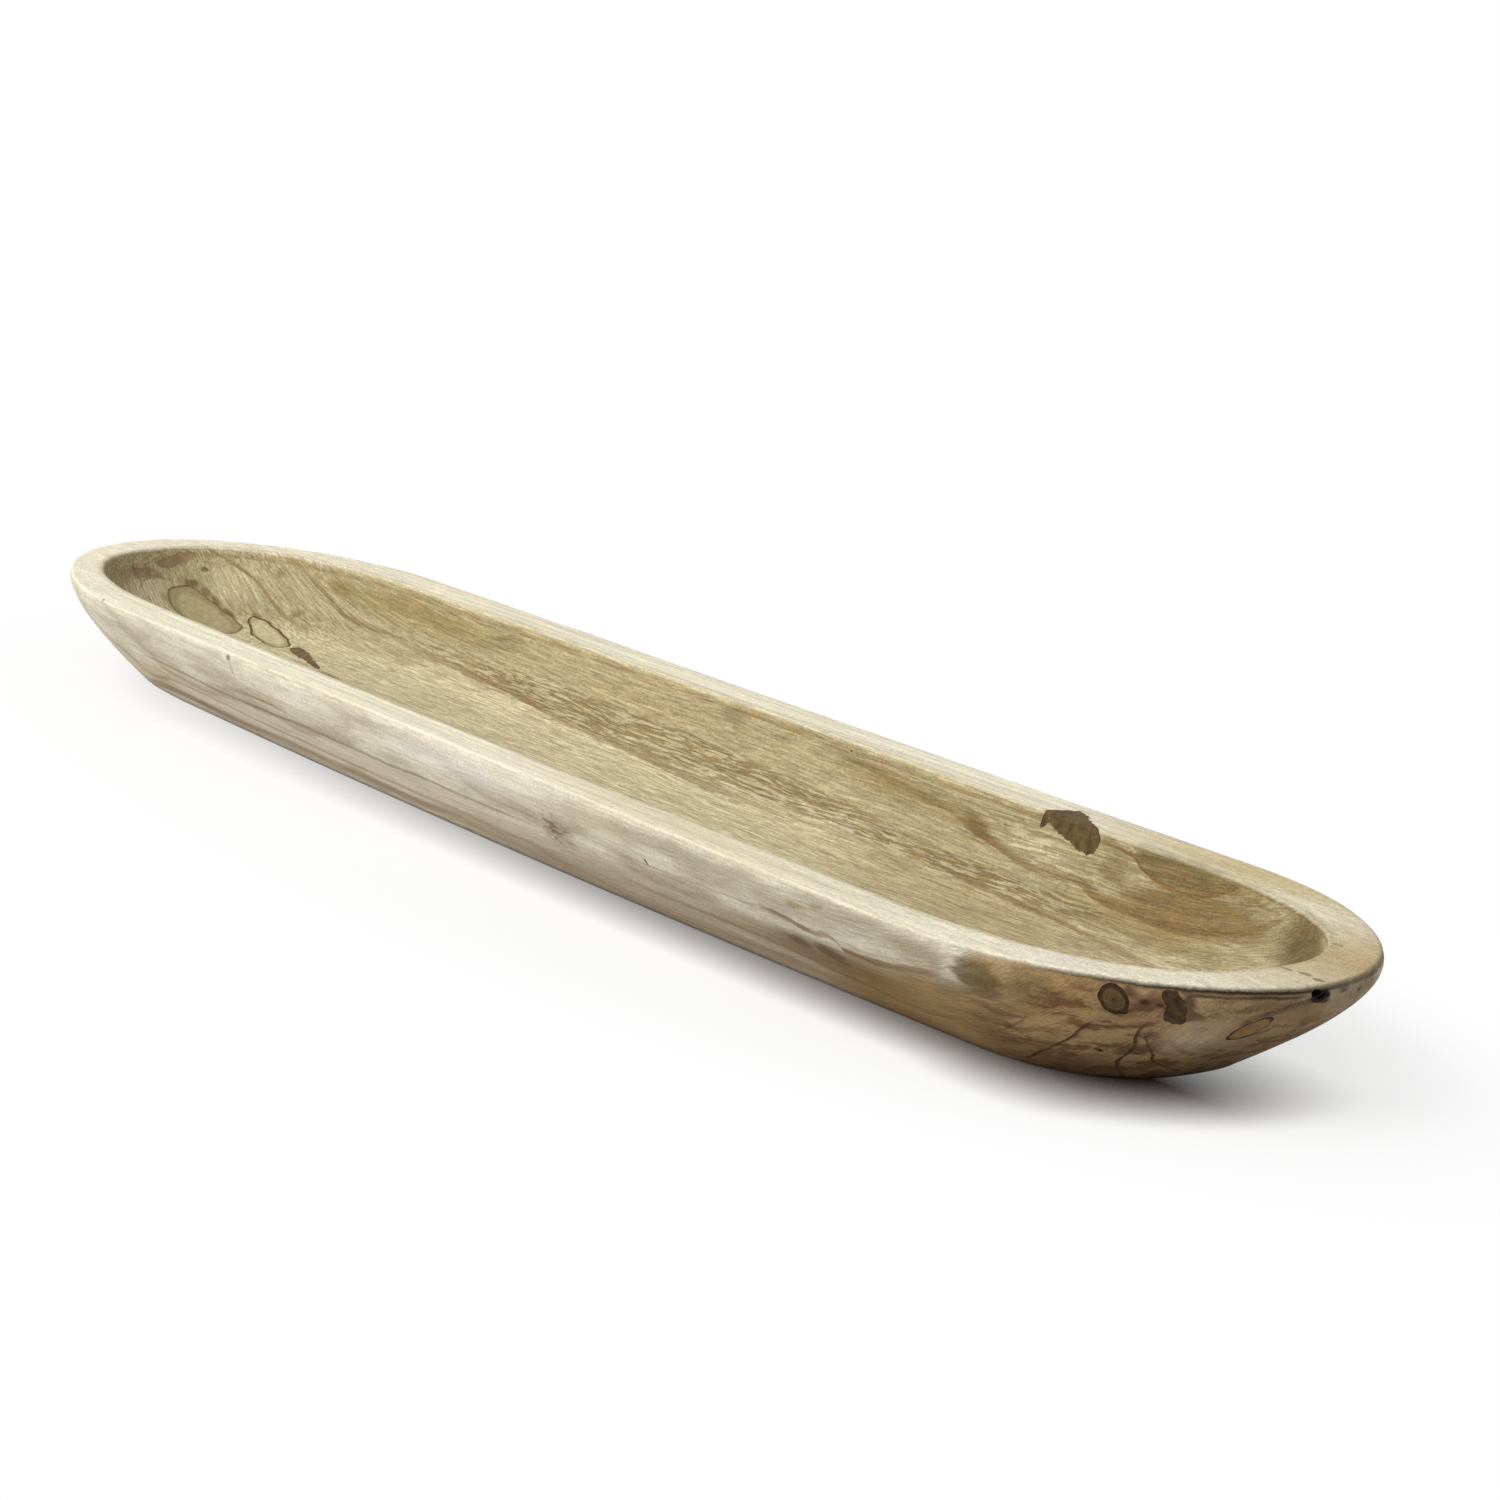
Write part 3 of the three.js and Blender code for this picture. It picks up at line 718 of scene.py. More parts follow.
def swung(tree, colour, pattern, depth):
    """A colour made lighter and darker by a pattern, by so much of itself for each unit of the pattern."""
    shine = add(tree, "ShaderNodeMath", {0: pattern, 1: -0.5}, operation="ADD")
    shine = add(tree, "ShaderNodeMath", {0: shine, 1: depth, 2: 1.0}, operation="MULTIPLY_ADD")
    return add(tree, "ShaderNodeVectorMath", {0: colour, "Scale": shine}, operation="SCALE")


# Raw wood, bark and putty scatter light out of open pores, so they shine far less than a varnish would
DRY_SHEEN = 1.22


def finish_surface(tree, colour, roughness, height):
    """Ends a material: its colour, roughness and relief, with the height in millimetres."""
    relief = add(tree, "ShaderNodeBump", {"Height": height, "Strength": 1.0, "Distance": MM})
    skin = {"Base Color": colour, "Roughness": roughness, "Normal": relief, "IOR": DRY_SHEEN}
    add(tree, "ShaderNodeOutputMaterial", {"Surface": add(tree, "ShaderNodeBsdfPrincipled", skin)})


# Each pattern: the size of its grains in millimetres along the bowl, across it and up, its detail, and its
# roughness. Real fibres are a tenth of a millimetre thick, too fine to show, so they and the tears are
# drawn coarser, as bundles
FIBRES = (23, 0.6, 0.6), 5.0, 0.7
TEARS = (13, 0.75, 0.75), 4.0, 0.62
BANDS = (110, 3.2, 3.2), 3.0
DUST = (1.5, 0.9, 0.9), 4.0, 0.75
HOLLOW_BLOTCHES = (60, 9, 9), 3.0
FLANK_BLOTCHES = (28, 11, 7), 4.0, 0.65
END_FIGURE = (30, 8, 3.4), 4.0, 0.6
BRUISE_SPECKS = (4, 1.5, 1.5), 3.0, 0.6
RIM_STREAKS = (140, 2.2, 30), 4.0, 0.6
KNOT_MOTTLE = (3, 2, 2), 4.0, 0.65
BARK_CRUMBS = (1.6, 1.6, 1.6), 5.0, 0.65
PUTTY_MOTTLE = (4, 4, 4), 4.0, 0.6

# Putty is divided into cells of a size in millimetres. Some hold a pinhole and a few a pale speck: how far
# from its middle it starts and is full, which cells hold it, and its hue
PUTTY_CELL = 2.4
PINHOLE = (0.14, 0.08, "GREATER_THAN", 0.6, "2a2016")
PALE_SPECK = (0.12, 0.07, "LESS_THAN", 0.04, "d8d0bd")

# How patterns stray: the size of the wanderings in millimetres, how far they reach, and their detail
LOG_BEND = (90, 26, 26), (4, 5, 5)
FRAYED = (15, 2.6, 2.6), (16, 2.6, 3.4), 4.0
WAVERING = (7, 3, 3), (1.2, 0.8, 1.1), 3.0
KNOT_WAVER = (4, 4, 4), (1.0, 1.0, 1.0), 3.0

# The log's pith runs over the bowl, straight in the middle and rising at both ends: distance along, height
PITH_PATH = [
    (-400, 122), (-372, 101), (-350, 88), (-330, 80), (-308, 73), (-285, 68), (-250, 65.5), (-200, 64),
    (0, 64), (200, 64.5), (250, 66), (285, 69), (310, 74), (330, 80), (350, 89), (372, 100), (400, 118),
]
PITH_TOP = 200

# Faint growth lines all through the log: how far each ends from the pith, its build-up, and how dark it is
GROWTH_LINES = [
    (53.5, 1.6, 0.25), (57.2, 1.6, 0.3), (60.3, 1.3, 0.45), (63.4, 1.0, 0.4), (66.8, 1.4, 0.35),
    (69.6, 1.2, 0.5), (72.8, 0.8, 0.4), (77.2, 1.0, 0.5), (80.4, 0.6, 0.45), (84.5, 0.9, 0.4),
]
CORE_FROM = 48
CORE_TO = 92
LINE_END = 0.35


class Face(NamedTuple):
    """Growth lines and painted shade on one face of the wood: the axes along and across them, their hue,
    and where they show.

    They fade in from the first place of the shown axis to the second, or show all over. Each line has how
    far it fades below and above, then its points: along, across and how dark it is there.
    """
    along: str
    across: str
    hue: str
    shown: tuple
    lines: list


FAR_WALL = Face("X", "Z", "7f6640", ("Y", 4, 9), [
    (0.5, 2.4, [
        (45, 34.3, 0), (60, 33.3, 0.35), (80, 31.8, 0.5), (100, 30.1, 0.55), (125, 28.8, 0.55),
        (140, 27.5, 0.6), (150, 25.6, 0.8), (160, 24.3, 0.9), (170, 23.4, 0.8), (182, 22, 0.7),
        (192, 21.3, 0.6), (202, 21.1, 0.5), (212, 22.4, 0.6), (220, 21.6, 0.8), (228, 20.4, 0.9),
        (240, 20, 0.9), (252, 20, 0.9), (262, 19.8, 0.95), (272, 20.2, 0.95), (282, 21.5, 0.95),
        (292, 23.2, 0.9), (300, 25, 0.9), (308, 27.6, 0.85), (315, 30.5, 0.7), (320, 33, 0.5),
        (326, 37, 0.2),
    ]),
    (0.6, 1.6, [
        (234, 34.8, 0.4), (238, 33.6, 0.9), (242, 32, 1), (248, 30.6, 1), (255, 29.6, 1), (262, 29.1, 1),
        (270, 29.4, 1), (277, 30.6, 1), (283, 32.4, 1), (288, 34.4, 0.9), (294, 36.8, 0.6),
    ]),
    (0.5, 0.8, [(214, 34.6, 0), (220, 34.9, 0.7), (228, 34.7, 0.9), (236, 34.2, 0.9), (243, 34, 0.4)]),
    (0.4, 0.9, [(246, 34.8, 0), (252, 33.3, 0.5), (262, 32.1, 0.6), (272, 32.5, 0.5), (280, 34.5, 0)]),
    (0.4, 1.2, [
        (228, 27, 0), (240, 25, 0.4), (256, 24.2, 0.5), (272, 24.6, 0.5), (288, 27.5, 0.5), (302, 33, 0),
    ]),
    (0.4, 1.6, [
        (-334, 36, 0), (-329, 32.4, 0.36), (-321, 29.2, 0.58), (-312, 26.4, 0.61), (-305, 24, 0.65),
        (-298, 22.3, 0.68), (-290, 21.2, 0.68), (-280, 20.6, 0.58), (-268, 20.3, 0.58),
        (-255, 20.2, 0.43), (-240, 19.4, 0.36), (-225, 18.7, 0.43), (-210, 18.2, 0.43),
        (-190, 17.8, 0.5), (-170, 17.4, 0.54), (-150, 17, 0.61), (-125, 16, 0.61), (-100, 15.2, 0.58),
        (-70, 14.8, 0.61), (-40, 14.3, 0.61), (-10, 13.7, 0.61), (30, 13.4, 0.43), (60, 13.8, 0.36),
        (100, 14.2, 0.29), (130, 13.6, 0.22), (150, 13, 0),
    ]),
    (0.4, 1.0, [
        (-374, 38, 0.5), (-368, 34.5, 0.7), (-360, 31, 0.7), (-350, 26.8, 0.7), (-342, 23.3, 0.7),
        (-334, 20.6, 0.65), (-326, 18.5, 0.5), (-316, 16.8, 0.3), (-300, 15.3, 0),
    ]),
    (0.4, 0.7, [
        (120, 16.6, 0), (150, 15.5, 0.6), (180, 14.6, 0.7), (215, 14.2, 0.7), (250, 13.6, 0.6),
        (285, 13.4, 0),
    ]),
])
END_WALL = Face("Y", "Z", "84704c", ("X", -330, -340), [
    (0.5, 0.6, [(-4, 36.4, 0), (2, 37.3, 0.6), (6, 37.5, 0.7), (10, 36.8, 0.6), (13, 35.4, 0)]),
    (0.5, 0.8, [(-16, 24, 0), (-11, 27, 0.5), (-6, 28.6, 0.6), (-1, 27.4, 0.5), (2, 26.4, 0)]),
    (0.4, 0.8, [(-9, 33.8, 0), (-6, 34.8, 0.35), (-2, 36, 0.35), (3, 36.4, 0)]),
])
FLANK = Face("X", "Z", "8d7150", ("Y", -6, -12), [
    (0.9, 0.9, [
        (-262, 20.6, 0), (-245, 20.2, 0.5), (-225, 19.6, 0.5), (-205, 18.6, 0.6), (-185, 18.2, 0.6),
        (-160, 18.5, 0.7), (-140, 18.7, 0.6), (-120, 19.2, 0.6), (-100, 19, 0.55), (-75, 18.7, 0.6),
        (-50, 18.2, 0.6), (-25, 18.8, 0.55), (0, 18.3, 0.55), (20, 18.2, 0.55), (40, 18.6, 0.35),
        (60, 18.5, 0),
    ]),
    (0.7, 1.0, [(-190, 22, 0), (-170, 22.6, 0.5), (-150, 23, 0.6), (-135, 22.6, 0.3), (-125, 22, 0)]),
    (2.5, 2.5, [
        (-300, 3, 0), (-285, 4.8, 0.6), (-262, 6, 0.7), (-240, 5.8, 0.7), (-200, 5.2, 0.5),
        (-160, 5, 0.45), (-110, 5.6, 0.5), (-60, 5.2, 0.45), (-20, 5.4, 0.4), (40, 5, 0.35),
        (110, 5, 0.25), (160, 5.5, 0.35), (200, 5.5, 0.4), (245, 4.5, 0.45), (280, 3.5, 0.35),
        (300, 3, 0),
    ]),
    (0.8, 1.2, [
        (-280, 9.5, 0), (-262, 11, 0.4), (-240, 12.5, 0.4), (-210, 12, 0.4), (-170, 10.5, 0.4),
        (-130, 10.3, 0.4), (-90, 10, 0.4), (-50, 9.5, 0.35), (-10, 9.5, 0.25), (30, 10, 0),
    ]),
    (0.5, 1.8, [
        (100, 11.5, 0), (125, 10.8, 0.4), (150, 10.8, 0.5), (175, 10.9, 0.5), (200, 10.8, 0.55),
        (215, 10.2, 0.75), (230, 9.2, 0.9), (245, 8.6, 0.95), (258, 7.7, 0.85), (272, 7.6, 0.75),
        (285, 8.7, 0.75), (295, 10.5, 0.7), (305, 12.5, 0.6), (315, 15, 0.6), (325, 18, 0.5),
        (335, 21, 0.35), (342, 24, 0),
    ]),
    (1.8, 1.2, [
        (203, 24.2, 0), (212, 25, 0.7), (222, 24.6, 0.9), (230, 23.6, 0.9), (236, 23.3, 0.7),
        (243, 24.4, 0.7), (249, 23, 0.5), (250, 22, 0),
    ]),
    (1.5, 1.7, [
        (248.5, 21, 0), (250, 21, 1), (258, 21, 1), (268, 21.3, 0.9), (278, 22.4, 0.8), (288, 24, 0.8),
        (298, 25.6, 0.7), (308, 27, 0),
    ]),
    (0.6, 0.8, [
        (110, 21.8, 0), (125, 22.2, 0.2), (150, 22.7, 0.25), (180, 23.3, 0.25), (200, 24, 0.4),
        (206, 24.6, 0),
    ]),
])

# The right end is seen on its corner, along a slant of the plan. Lines that stand up it give heights first
RIGHT_END = Face("Z", "slant", "452d15", (), [
    (0.45, 1.3, [
        (2.5, 196.5, 0), (4, 199, 0.9), (6.5, 202, 1), (10, 207, 1), (13, 211, 0.9), (16, 215, 0.9),
        (19, 218, 0.8), (21.8, 221, 0.8), (23.7, 223.3, 0),
    ]),
    (0.45, 1.2, [
        (3, 225, 0.4), (5, 225, 0.8), (7, 225.3, 0.8), (9.7, 227, 0.9), (12.5, 230, 0.8),
        (15.5, 232.5, 0.8), (19, 234, 0.9), (22.5, 236, 0.8), (25, 238, 0),
    ]),
    (0.6, 0.8, [
        (3.5, 241, 0.4), (5.5, 239.7, 0.8), (7, 238.4, 0.9), (8.8, 236.5, 1), (10.5, 236, 1),
        (13, 237, 0.9), (16, 237, 0.8), (19, 237, 0.8), (21.5, 238.5, 0.5), (24, 240.2, 0),
    ]),
    (0.5, 1.0, [
        (8, 183, 0), (11, 190, 0.4), (14, 195, 0.5), (17, 199, 0.45), (20.5, 203, 0.3), (22, 205, 0),
    ]),
    (0.6, 1.4, [(12, 247.5, 0), (14, 245.5, 0.5), (17, 244, 0.6), (20, 243.5, 0.4), (22, 244, 0)]),
])
# Under the rim at the right end: the two lines that run level just below it are painted shade of its
# overhang
UNDER_RIM_SHADE = Face("slant", "Z", "2f2117", (), [
    (1.4, 1.0, [
        (200, 38, 0), (220, 37.4, 0.8), (240, 37.1, 1), (256, 36.8, 1), (270, 36.8, 1), (281, 36.9, 0.9),
        (291, 37, 0.6),
    ]),
    (0.9, 0.5, [
        (250, 35.3, 0), (254, 35.4, 0.8), (262, 35.2, 0.6), (269, 35.4, 0.8), (276, 35.1, 0.7),
        (281, 35.5, 0),
    ]),
    (1.8, 1.5, [(249, 15.5, 0), (254, 18.8, 0.6), (258, 22, 0.6), (263, 26, 0.3), (266, 28, 0)]),
    (1.3, 1.3, [(260, 24.5, 0), (267, 28.8, 0.4), (274, 31.2, 0.6), (279, 33, 0.7), (284, 34.8, 0)]),
])

# Stains: place, half sizes, slope up towards the right, colour, strength and softness
HOLLOW_STAINS = [
    ((-240, 46, 29), (120, 14, 7), 0, "93824f", 0.7, 0.8),
    ((-230, 49, 37.6), (115, 6, 3.2), 0, "c8ba90", 0.6, 0.7),
    ((-305, 42, 30.5), (14, 8, 4), 0, "88783f", 0.55, 0.7),
    ((-340, 38, 37), (15, 7, 1.6), -3, "b0965f", 0.7, 0.8),
    ((-306, 28.4, 16.2), (7, 5, 2), 0, "b08a55", 0.35, 0.8),
    ((-170, 48, 31.6), (17, 6, 2.6), 0, "8d7b4d", 0.45, 0.8),
    ((-60, 48, 27), (100, 6, 6), -1, "b5a271", 0.4, 0.9),
    ((-20, 49, 36), (60, 6, 3), 0, "cabd95", 0.5, 0.9),
    ((10, 30, 12), (190, 24, 5), 0, "dccfa9", 0.5, 0.9),
    ((-6, 49, 33.2), (13, 6, 3.6), 0, "7f745a", 0.6, 0.8),
    ((36, 49, 34.6), (6, 5, 1.8), 0, "9d8238", 0.5, 0.8),
    ((104, 46.5, 29.6), (66, 8, 6), -2, "8c7b4c", 0.65, 0.8),
    ((152, 46, 27.2), (15, 7, 3.6), -8, "6b552a", 0.75, 0.7),
    ((190, 45, 26.5), (27, 9, 5.6), -3, "d2c6a2", 0.7, 0.9),
    ((228, 46, 29), (10, 8, 5.5), 0, "7b6a45", 0.65, 0.6),
    ((264, 46, 36), (31, 10, 6.8), 0, "76663f", 0.85, 0.2),
    ((276, 43, 25.2), (54, 13, 7.6), 4, "7c653a", 0.8, 0.5),
    ((262, 40, 18), (74, 16, 5.4), 0, "97804f", 0.6, 0.8),
    ((190, 28, 12.5), (150, 44, 6), 0, "b19c6e", 0.6, 0.9),
    ((340, 36, 31), (27, 21, 13), 0, "594a2b", 0.88, 0.7),
    ((298, 46, 35), (20, 9, 6), 0, "917f55", 0.7, 0.8),
    ((-371, -19, 30), (11, 13, 7), 0, "9a8a6e", 0.6, 0.9),
    ((-372, 3, 34.4), (9, 12, 3.2), 0, "8a7250", 0.7, 0.6),
    ((-371, -9, 30.4), (9, 8, 4), 0, "7f6849", 0.7, 0.6),
    ((-360, -10, 24), (22, 18, 12), 0, "dccfae", 0.75, 0.8),
    ((-352, 20, 28), (22, 12, 11), 0, "d6c9a4", 0.65, 0.7),
]
HOLLOW_MARKS = [
    ((-366.4, 8.7, 25.3), (5, 3.6, 1.7), -10, "715637", 0.75, 0.7),
    ((-361, 11.6, 23), (5.5, 2.2, 2.2), -25, "765b3b", 0.8, 0.7),
    ((-354, 13.2, 19.8), (6.5, 2, 2), -25, "775c3b", 0.8, 0.7),
    ((-344, 13.8, 17), (8, 2, 1.6), -15, "6f5535", 0.85, 0.7),
    ((-334, 21, 17), (6, 1.8, 1.2), -10, "7a6342", 0.7, 0.7),
    ((-342.5, 36, 31), (5, 5, 2.6), -15, "6f5f37", 0.8, 0.8),
    ((-318.5, 31, 19.3), (4.5, 6, 2.6), 10, "7c7148", 0.75, 0.8),
    ((-369.5, 15, 30), (4.5, 1.9, 1.3), 0, "6d5630", 0.85, 0.6),
    ((-236, 7, 11), (17, 2.2, 4), 0, "8a7448", 0.75, 0.8),
    ((-366, 8.4, 26), (6, 4, 1.5), 0, "806a46", 0.75, 0.5),
    ((-361, -4.6, 22), (7, 2.4, 4), 0, "8f7f60", 0.6, 0.8),
    ((-371, -3, 29), (6, 2.6, 2.4), 0, "8c7760", 0.7, 0.7),
    ((186, 51, 36), (9, 4, 1.2), 8, "6a5634", 0.7, 0.6),
    ((210, 43, 20), (5, 6, 2.2), 0, "77643c", 0.75, 0.6),
    ((210, 43, 20), (3.4, 5, 1.5), 0, "cbbb8e", 0.85, 0.6),
    ((210, 43, 20), (1.3, 5, 0.6), 0, "6f5c38", 0.8, 0.8),
    ((224, 50, 36.5), (9, 4, 2.2), -10, "7d6a42", 0.6, 0.7),
]
FLANK_STAINS = [
    ((-262, -52, 12), (34, 20, 7), 8, "c2b18a", 0.5, 0.8),
    ((-110, -58, 14), (110, 20, 7), 0, "ddd1b8", 0.6, 0.9),
    ((-110, -61, 30), (60, 8, 8), 0, "f4ecd8", 0.6, 0.9),
    ((7, -61, 29), (75, 10, 9), 0, "fdf8ea", 0.8, 0.9),
    ((118, -61, 31), (40, 9, 7), 0, "d8cca4", 0.5, 0.9),
    ((150, -50, 5), (230, 60, 16), 0, "ac9b7f", 0.6, 0.6),
    ((264, -61, 34), (52, 9, 8), 0, "b3a88f", 0.65, 0.8),
    ((330, -45, 4), (130, 70, 27), 0, "9d7b49", 0.9, 0.35),
    ((376, -28, 24), (70, 66, 30), 0, "bd9c70", 0.95, 0.5),
    ((345, -52, 33), (36, 17, 14), 0, "a48557", 0.8, 0.5),
    # The next spot, dark and low on the right end, is painted shade close over the floor
    ((340, -36, 4), (56, 26, 9), 0, "5a4224", 0.7, 0.8),
    ((394, -3, 28), (14, 14, 6), 30, "c9a780", 0.7, 0.8),
    ((393, 18, 34), (10, 14, 6), 0, "9c7c4c", 0.7, 0.8),
    ((306, -57, 31), (6, 9, 7), 0, "c5b8a2", 0.6, 0.8),
    ((296, -58, 33), (24, 9, 8), 0, "9c8d6b", 0.7, 0.8),
    ((323.5, -55, 30), (12, 11, 8), 0, "6c5731", 0.8, 0.5),
    ((343, -50, 30.5), (11, 10, 7.5), 0, "8a7350", 0.7, 0.45),
    ((190, -50, 14), (42, 14, 9), 0, "9c8460", 0.5, 0.8),
    ((-374, -34, 22), (34, 22, 14), 0, "d3c5a2", 0.5, 0.8),
    ((234, -48, 15.5), (56, 14, 10), 0, "7c6039", 0.75, 0.7),
    ((220, -50, 17.5), (8, 10, 3.6), 0, "6f5336", 0.75, 0.7),
    ((238, -50, 17), (12, 10, 4), 0, "694d31", 0.8, 0.6),
    ((234, -61, 31), (10, 6, 1.9), 6, "94844f", 0.6, 0.8),
    ((247, -61, 33.4), (7, 6, 1.5), 18, "94844f", 0.5, 0.8),
    ((170, -61, 33), (60, 7, 7), 0, "bab19c", 0.6, 0.9),
    ((74, -56, 19), (14, 10, 9), 25, "a39474", 0.65, 0.9),
    ((-150, -60, 24), (42, 8, 4), 3, "c3b085", 0.6, 0.8),
    ((371, -38, 30.5), (17, 14, 8), 0, "765b3f", 0.5, 0.8),
    ((382, -14, 12), (20, 8, 4), 20, "7a5c40", 0.6, 0.8),
    ((396, -6, 31.5), (3.5, 6, 2.5), 0, "5f4735", 0.6, 0.8),
]
FLANK_MARKS = [
    ((375, -20, 21), (20, 16, 8), 20, "e6cba8", 0.85, 0.9),
    ((394, -3, 29.5), (10, 10, 4.5), 20, "b8976e", 0.6, 0.9),
    ((-163.4, -61.5, 36.2), (3, 4, 1.7), 20, "6d684e", 0.8, 0.7),
    ((-164, -61, 31.5), (1.6, 4, 4.5), -12, "a49a7a", 0.6, 0.8),
    ((-281, -61, 37.6), (2.4, 3, 0.9), 0, "6d6856", 0.8, 0.6),
    ((-267, -60, 33), (1.4, 5, 4.5), 20, "b9ab84", 0.6, 0.8),
    ((371.6, -38.5, 34.4), (4, 5, 2.4), -30, "47331f", 0.75, 0.8),
    ((374.5, -36.5, 32), (2.4, 4, 1.4), 0, "3b2919", 0.85, 0.8),
    ((378, -34, 31.6), (1.5, 3, 1.1), 0, "3b2919", 0.85, 0.8),
    ((384.5, -30, 33), (2.2, 4, 4.5), 0, "4a3724", 0.8, 0.7),
    ((381, -31.5, 26.6), (3, 4, 1.5), 0, "49351f", 0.7, 0.8),
    ((368, -36.5, 26), (8, 6, 1.7), 10, "bd9366", 0.65, 0.8),
    ((352, -45, 27.5), (11, 6, 1.0), 0, "93603c", 0.7, 0.8),
    ((374, -30, 24.6), (7, 5, 1.0), 8, "b98c5f", 0.6, 0.8),
    ((347.5, -33, 12.8), (1.7, 3, 1.1), 30, "3a281a", 0.9, 0.6),
    ((397.5, 8, 35.4), (3, 4, 1.5), 0, "4a3628", 0.7, 0.8),
    ((394.6, 15.4, 34), (1.6, 1.6, 1.4), 0, "5d4a3a", 0.8, 0.6),
    ((391, 20.6, 36.4), (3, 4, 1), 0, "6a5544", 0.7, 0.8),
    ((398.6, 0.8, 34.7), (5, 3.4, 2.7), -30, "1c140e", 1.0, 0.25),
    ((136.2, -56.9, 23.3), (0.9, 2, 2.4), 25, "5b4c38", 0.8, 0.6),
]
RIM_STAINS = [
    ((388, 22, 38), (80, 52, 6), 0, "bb9f6a", 0.8, 1.0),
    ((288, 57, 38), (120, 16, 6), 0, "ccb885", 0.85, 1.0),
    ((160, -57, 38), (170, 12, 6), 0, "d8caa6", 0.5, 1.0),
    ((340, -40, 38), (60, 18, 6), 12, "efe3d3", 0.7, 1.0),
]
RIM_MARKS = [
    ((382, 1.6, 38), (4.5, 0.9, 2), 0, "8f8068", 0.8, 0.5),
    ((389, 2.9, 38), (4, 1.3, 2), 0, "8f8068", 0.8, 0.5),
    ((396, 2.2, 38), (3.2, 1.2, 2), 0, "7d6c55", 0.8, 0.5),
    ((367, 28.2, 38), (3.2, 0.7, 2), 0, "75634a", 0.8, 0.5),
    ((196, 57, 38), (8, 2.4, 2), 0, "b5a586", 0.5, 0.8),
]


class Log(NamedTuple):
    """What the parts of the wood's material share: its tree, places on it, and where the hollow is."""
    tree: bpy.types.NodeTree
    place: bpy.types.NodeSocket
    flowing: bpy.types.NodeSocket
    distance: bpy.types.NodeSocket
    frayed: bpy.types.NodeSocket
    wavering: bpy.types.NodeSocket
    hollow: bpy.types.NodeSocket


def felled_log(tree, place):
    """The log, with the distance of each point from its pith, and a frame that follows its grain."""
    parts = add(tree, "ShaderNodeSeparateXYZ", {"Vector": strayed(tree, place, *LOG_BEND)}).node.outputs
    first, last = PITH_PATH[0][0], PITH_PATH[-1][0]
    share = add(tree, "ShaderNodeMapRange", {"Value": parts["X"], "From Min": first, "From Max": last})
    path = [((x - first) / (last - first), height / PITH_TOP) for x, height in PITH_PATH]
    pith = add(tree, "ShaderNodeFloatCurve", {"Value": share}, curve=path)
    below = add(tree, "ShaderNodeMath", {0: pith, 1: PITH_TOP}, operation="MULTIPLY")
    below = add(tree, "ShaderNodeMath", {0: below, 1: parts["Z"]}, operation="SUBTRACT")
    flowing = add(tree, "ShaderNodeCombineXYZ", {"X": parts["X"], "Y": parts["Y"], "Z": below})
    distance = add(tree, "ShaderNodeVectorMath", {0: flowing, 1: (0, 1, 1)}, operation="MULTIPLY")
    return Log(
        tree=tree,
        place=place,
        flowing=flowing,
        distance=add(tree, "ShaderNodeVectorMath", {0: distance}, operation="LENGTH"),
        frayed=strayed(tree, place, *FRAYED),
        wavering=strayed(tree, place, *WAVERING),
        hollow=add(tree, "ShaderNodeAttribute", attribute_name="in_hollow").node.outputs["Fac"],
    )


def growth_lines(log):
    """How dark each faint growth line is: it builds up slowly on the side of the pith and ends sharply."""
    breadth = CORE_TO - CORE_FROM
    stops = []
    for end, build, dark in GROWTH_LINES:
        stops += [(end - build, 0.0), (end, dark), (end + LINE_END, 0.0)]
    stops = [((place - CORE_FROM) / breadth, dark) for place, dark in stops]
    share = add(
        log.tree, "ShaderNodeMapRange", {"Value": log.distance, "From Min": CORE_FROM, "From Max": CORE_TO}
    )
    return add(log.tree, "ShaderNodeFloatCurve", {"Value": share}, curve=stops)


def lined(tree, colour, axes, face):
    """A colour with the growth lines and painted shade of one face of the wood drawn on it."""
    darkest = 0.0
    for below, above, points in face.lines:
        first, last = points[0][0], points[-1][0]
        low = min(spot for _, spot, _ in points)
        rise = max(spot for _, spot, _ in points) - low
        shares = [(spot - first) / (last - first) for spot, _, _ in points]
        share = add(
            tree, "ShaderNodeMapRange", {"Value": axes[face.along], "From Min": first, "From Max": last}
        )
        path = [(part, (spot - low) / rise) for part, (_, spot, _) in zip(shares, points)]
        bend = add(tree, "ShaderNodeFloatCurve", {"Value": share}, curve=path)
        gap = add(
            tree, "ShaderNodeMath", {0: bend, 1: -rise, 2: axes[face.across]}, operation="MULTIPLY_ADD"
        )
        core = add(
            tree, "ShaderNodeMapRange", {"Value": gap, "From Min": low - below, "From Max": low + above}
        )
        ridge = [(0, 0), (below / (below + above), 1), (1, 0)]
        core = add(tree, "ShaderNodeFloatCurve", {"Value": core}, curve=ridge)
        dark = [(part, shade) for part, (_, _, shade) in zip(shares, points)]
        dark = add(tree, "ShaderNodeFloatCurve", {"Value": share}, curve=dark)
        dark = add(tree, "ShaderNodeMath", {0: core, 1: dark}, operation="MULTIPLY")
        darkest = add(tree, "ShaderNodeMath", {0: darkest, 1: dark}, operation="MAXIMUM")
    if face.shown:
        axis, nowhere, fully = face.shown
        mask = add(
            tree, "ShaderNodeMapRange", {"Value": axes[axis], "From Min": nowhere, "From Max": fully}
        )
        darkest = add(tree, "ShaderNodeMath", {0: darkest, 1: mask}, operation="MULTIPLY")
    return add(tree, "ShaderNodeMix", {SHARE: darkest, UNDER: colour, OVER: linear(face.hue)})


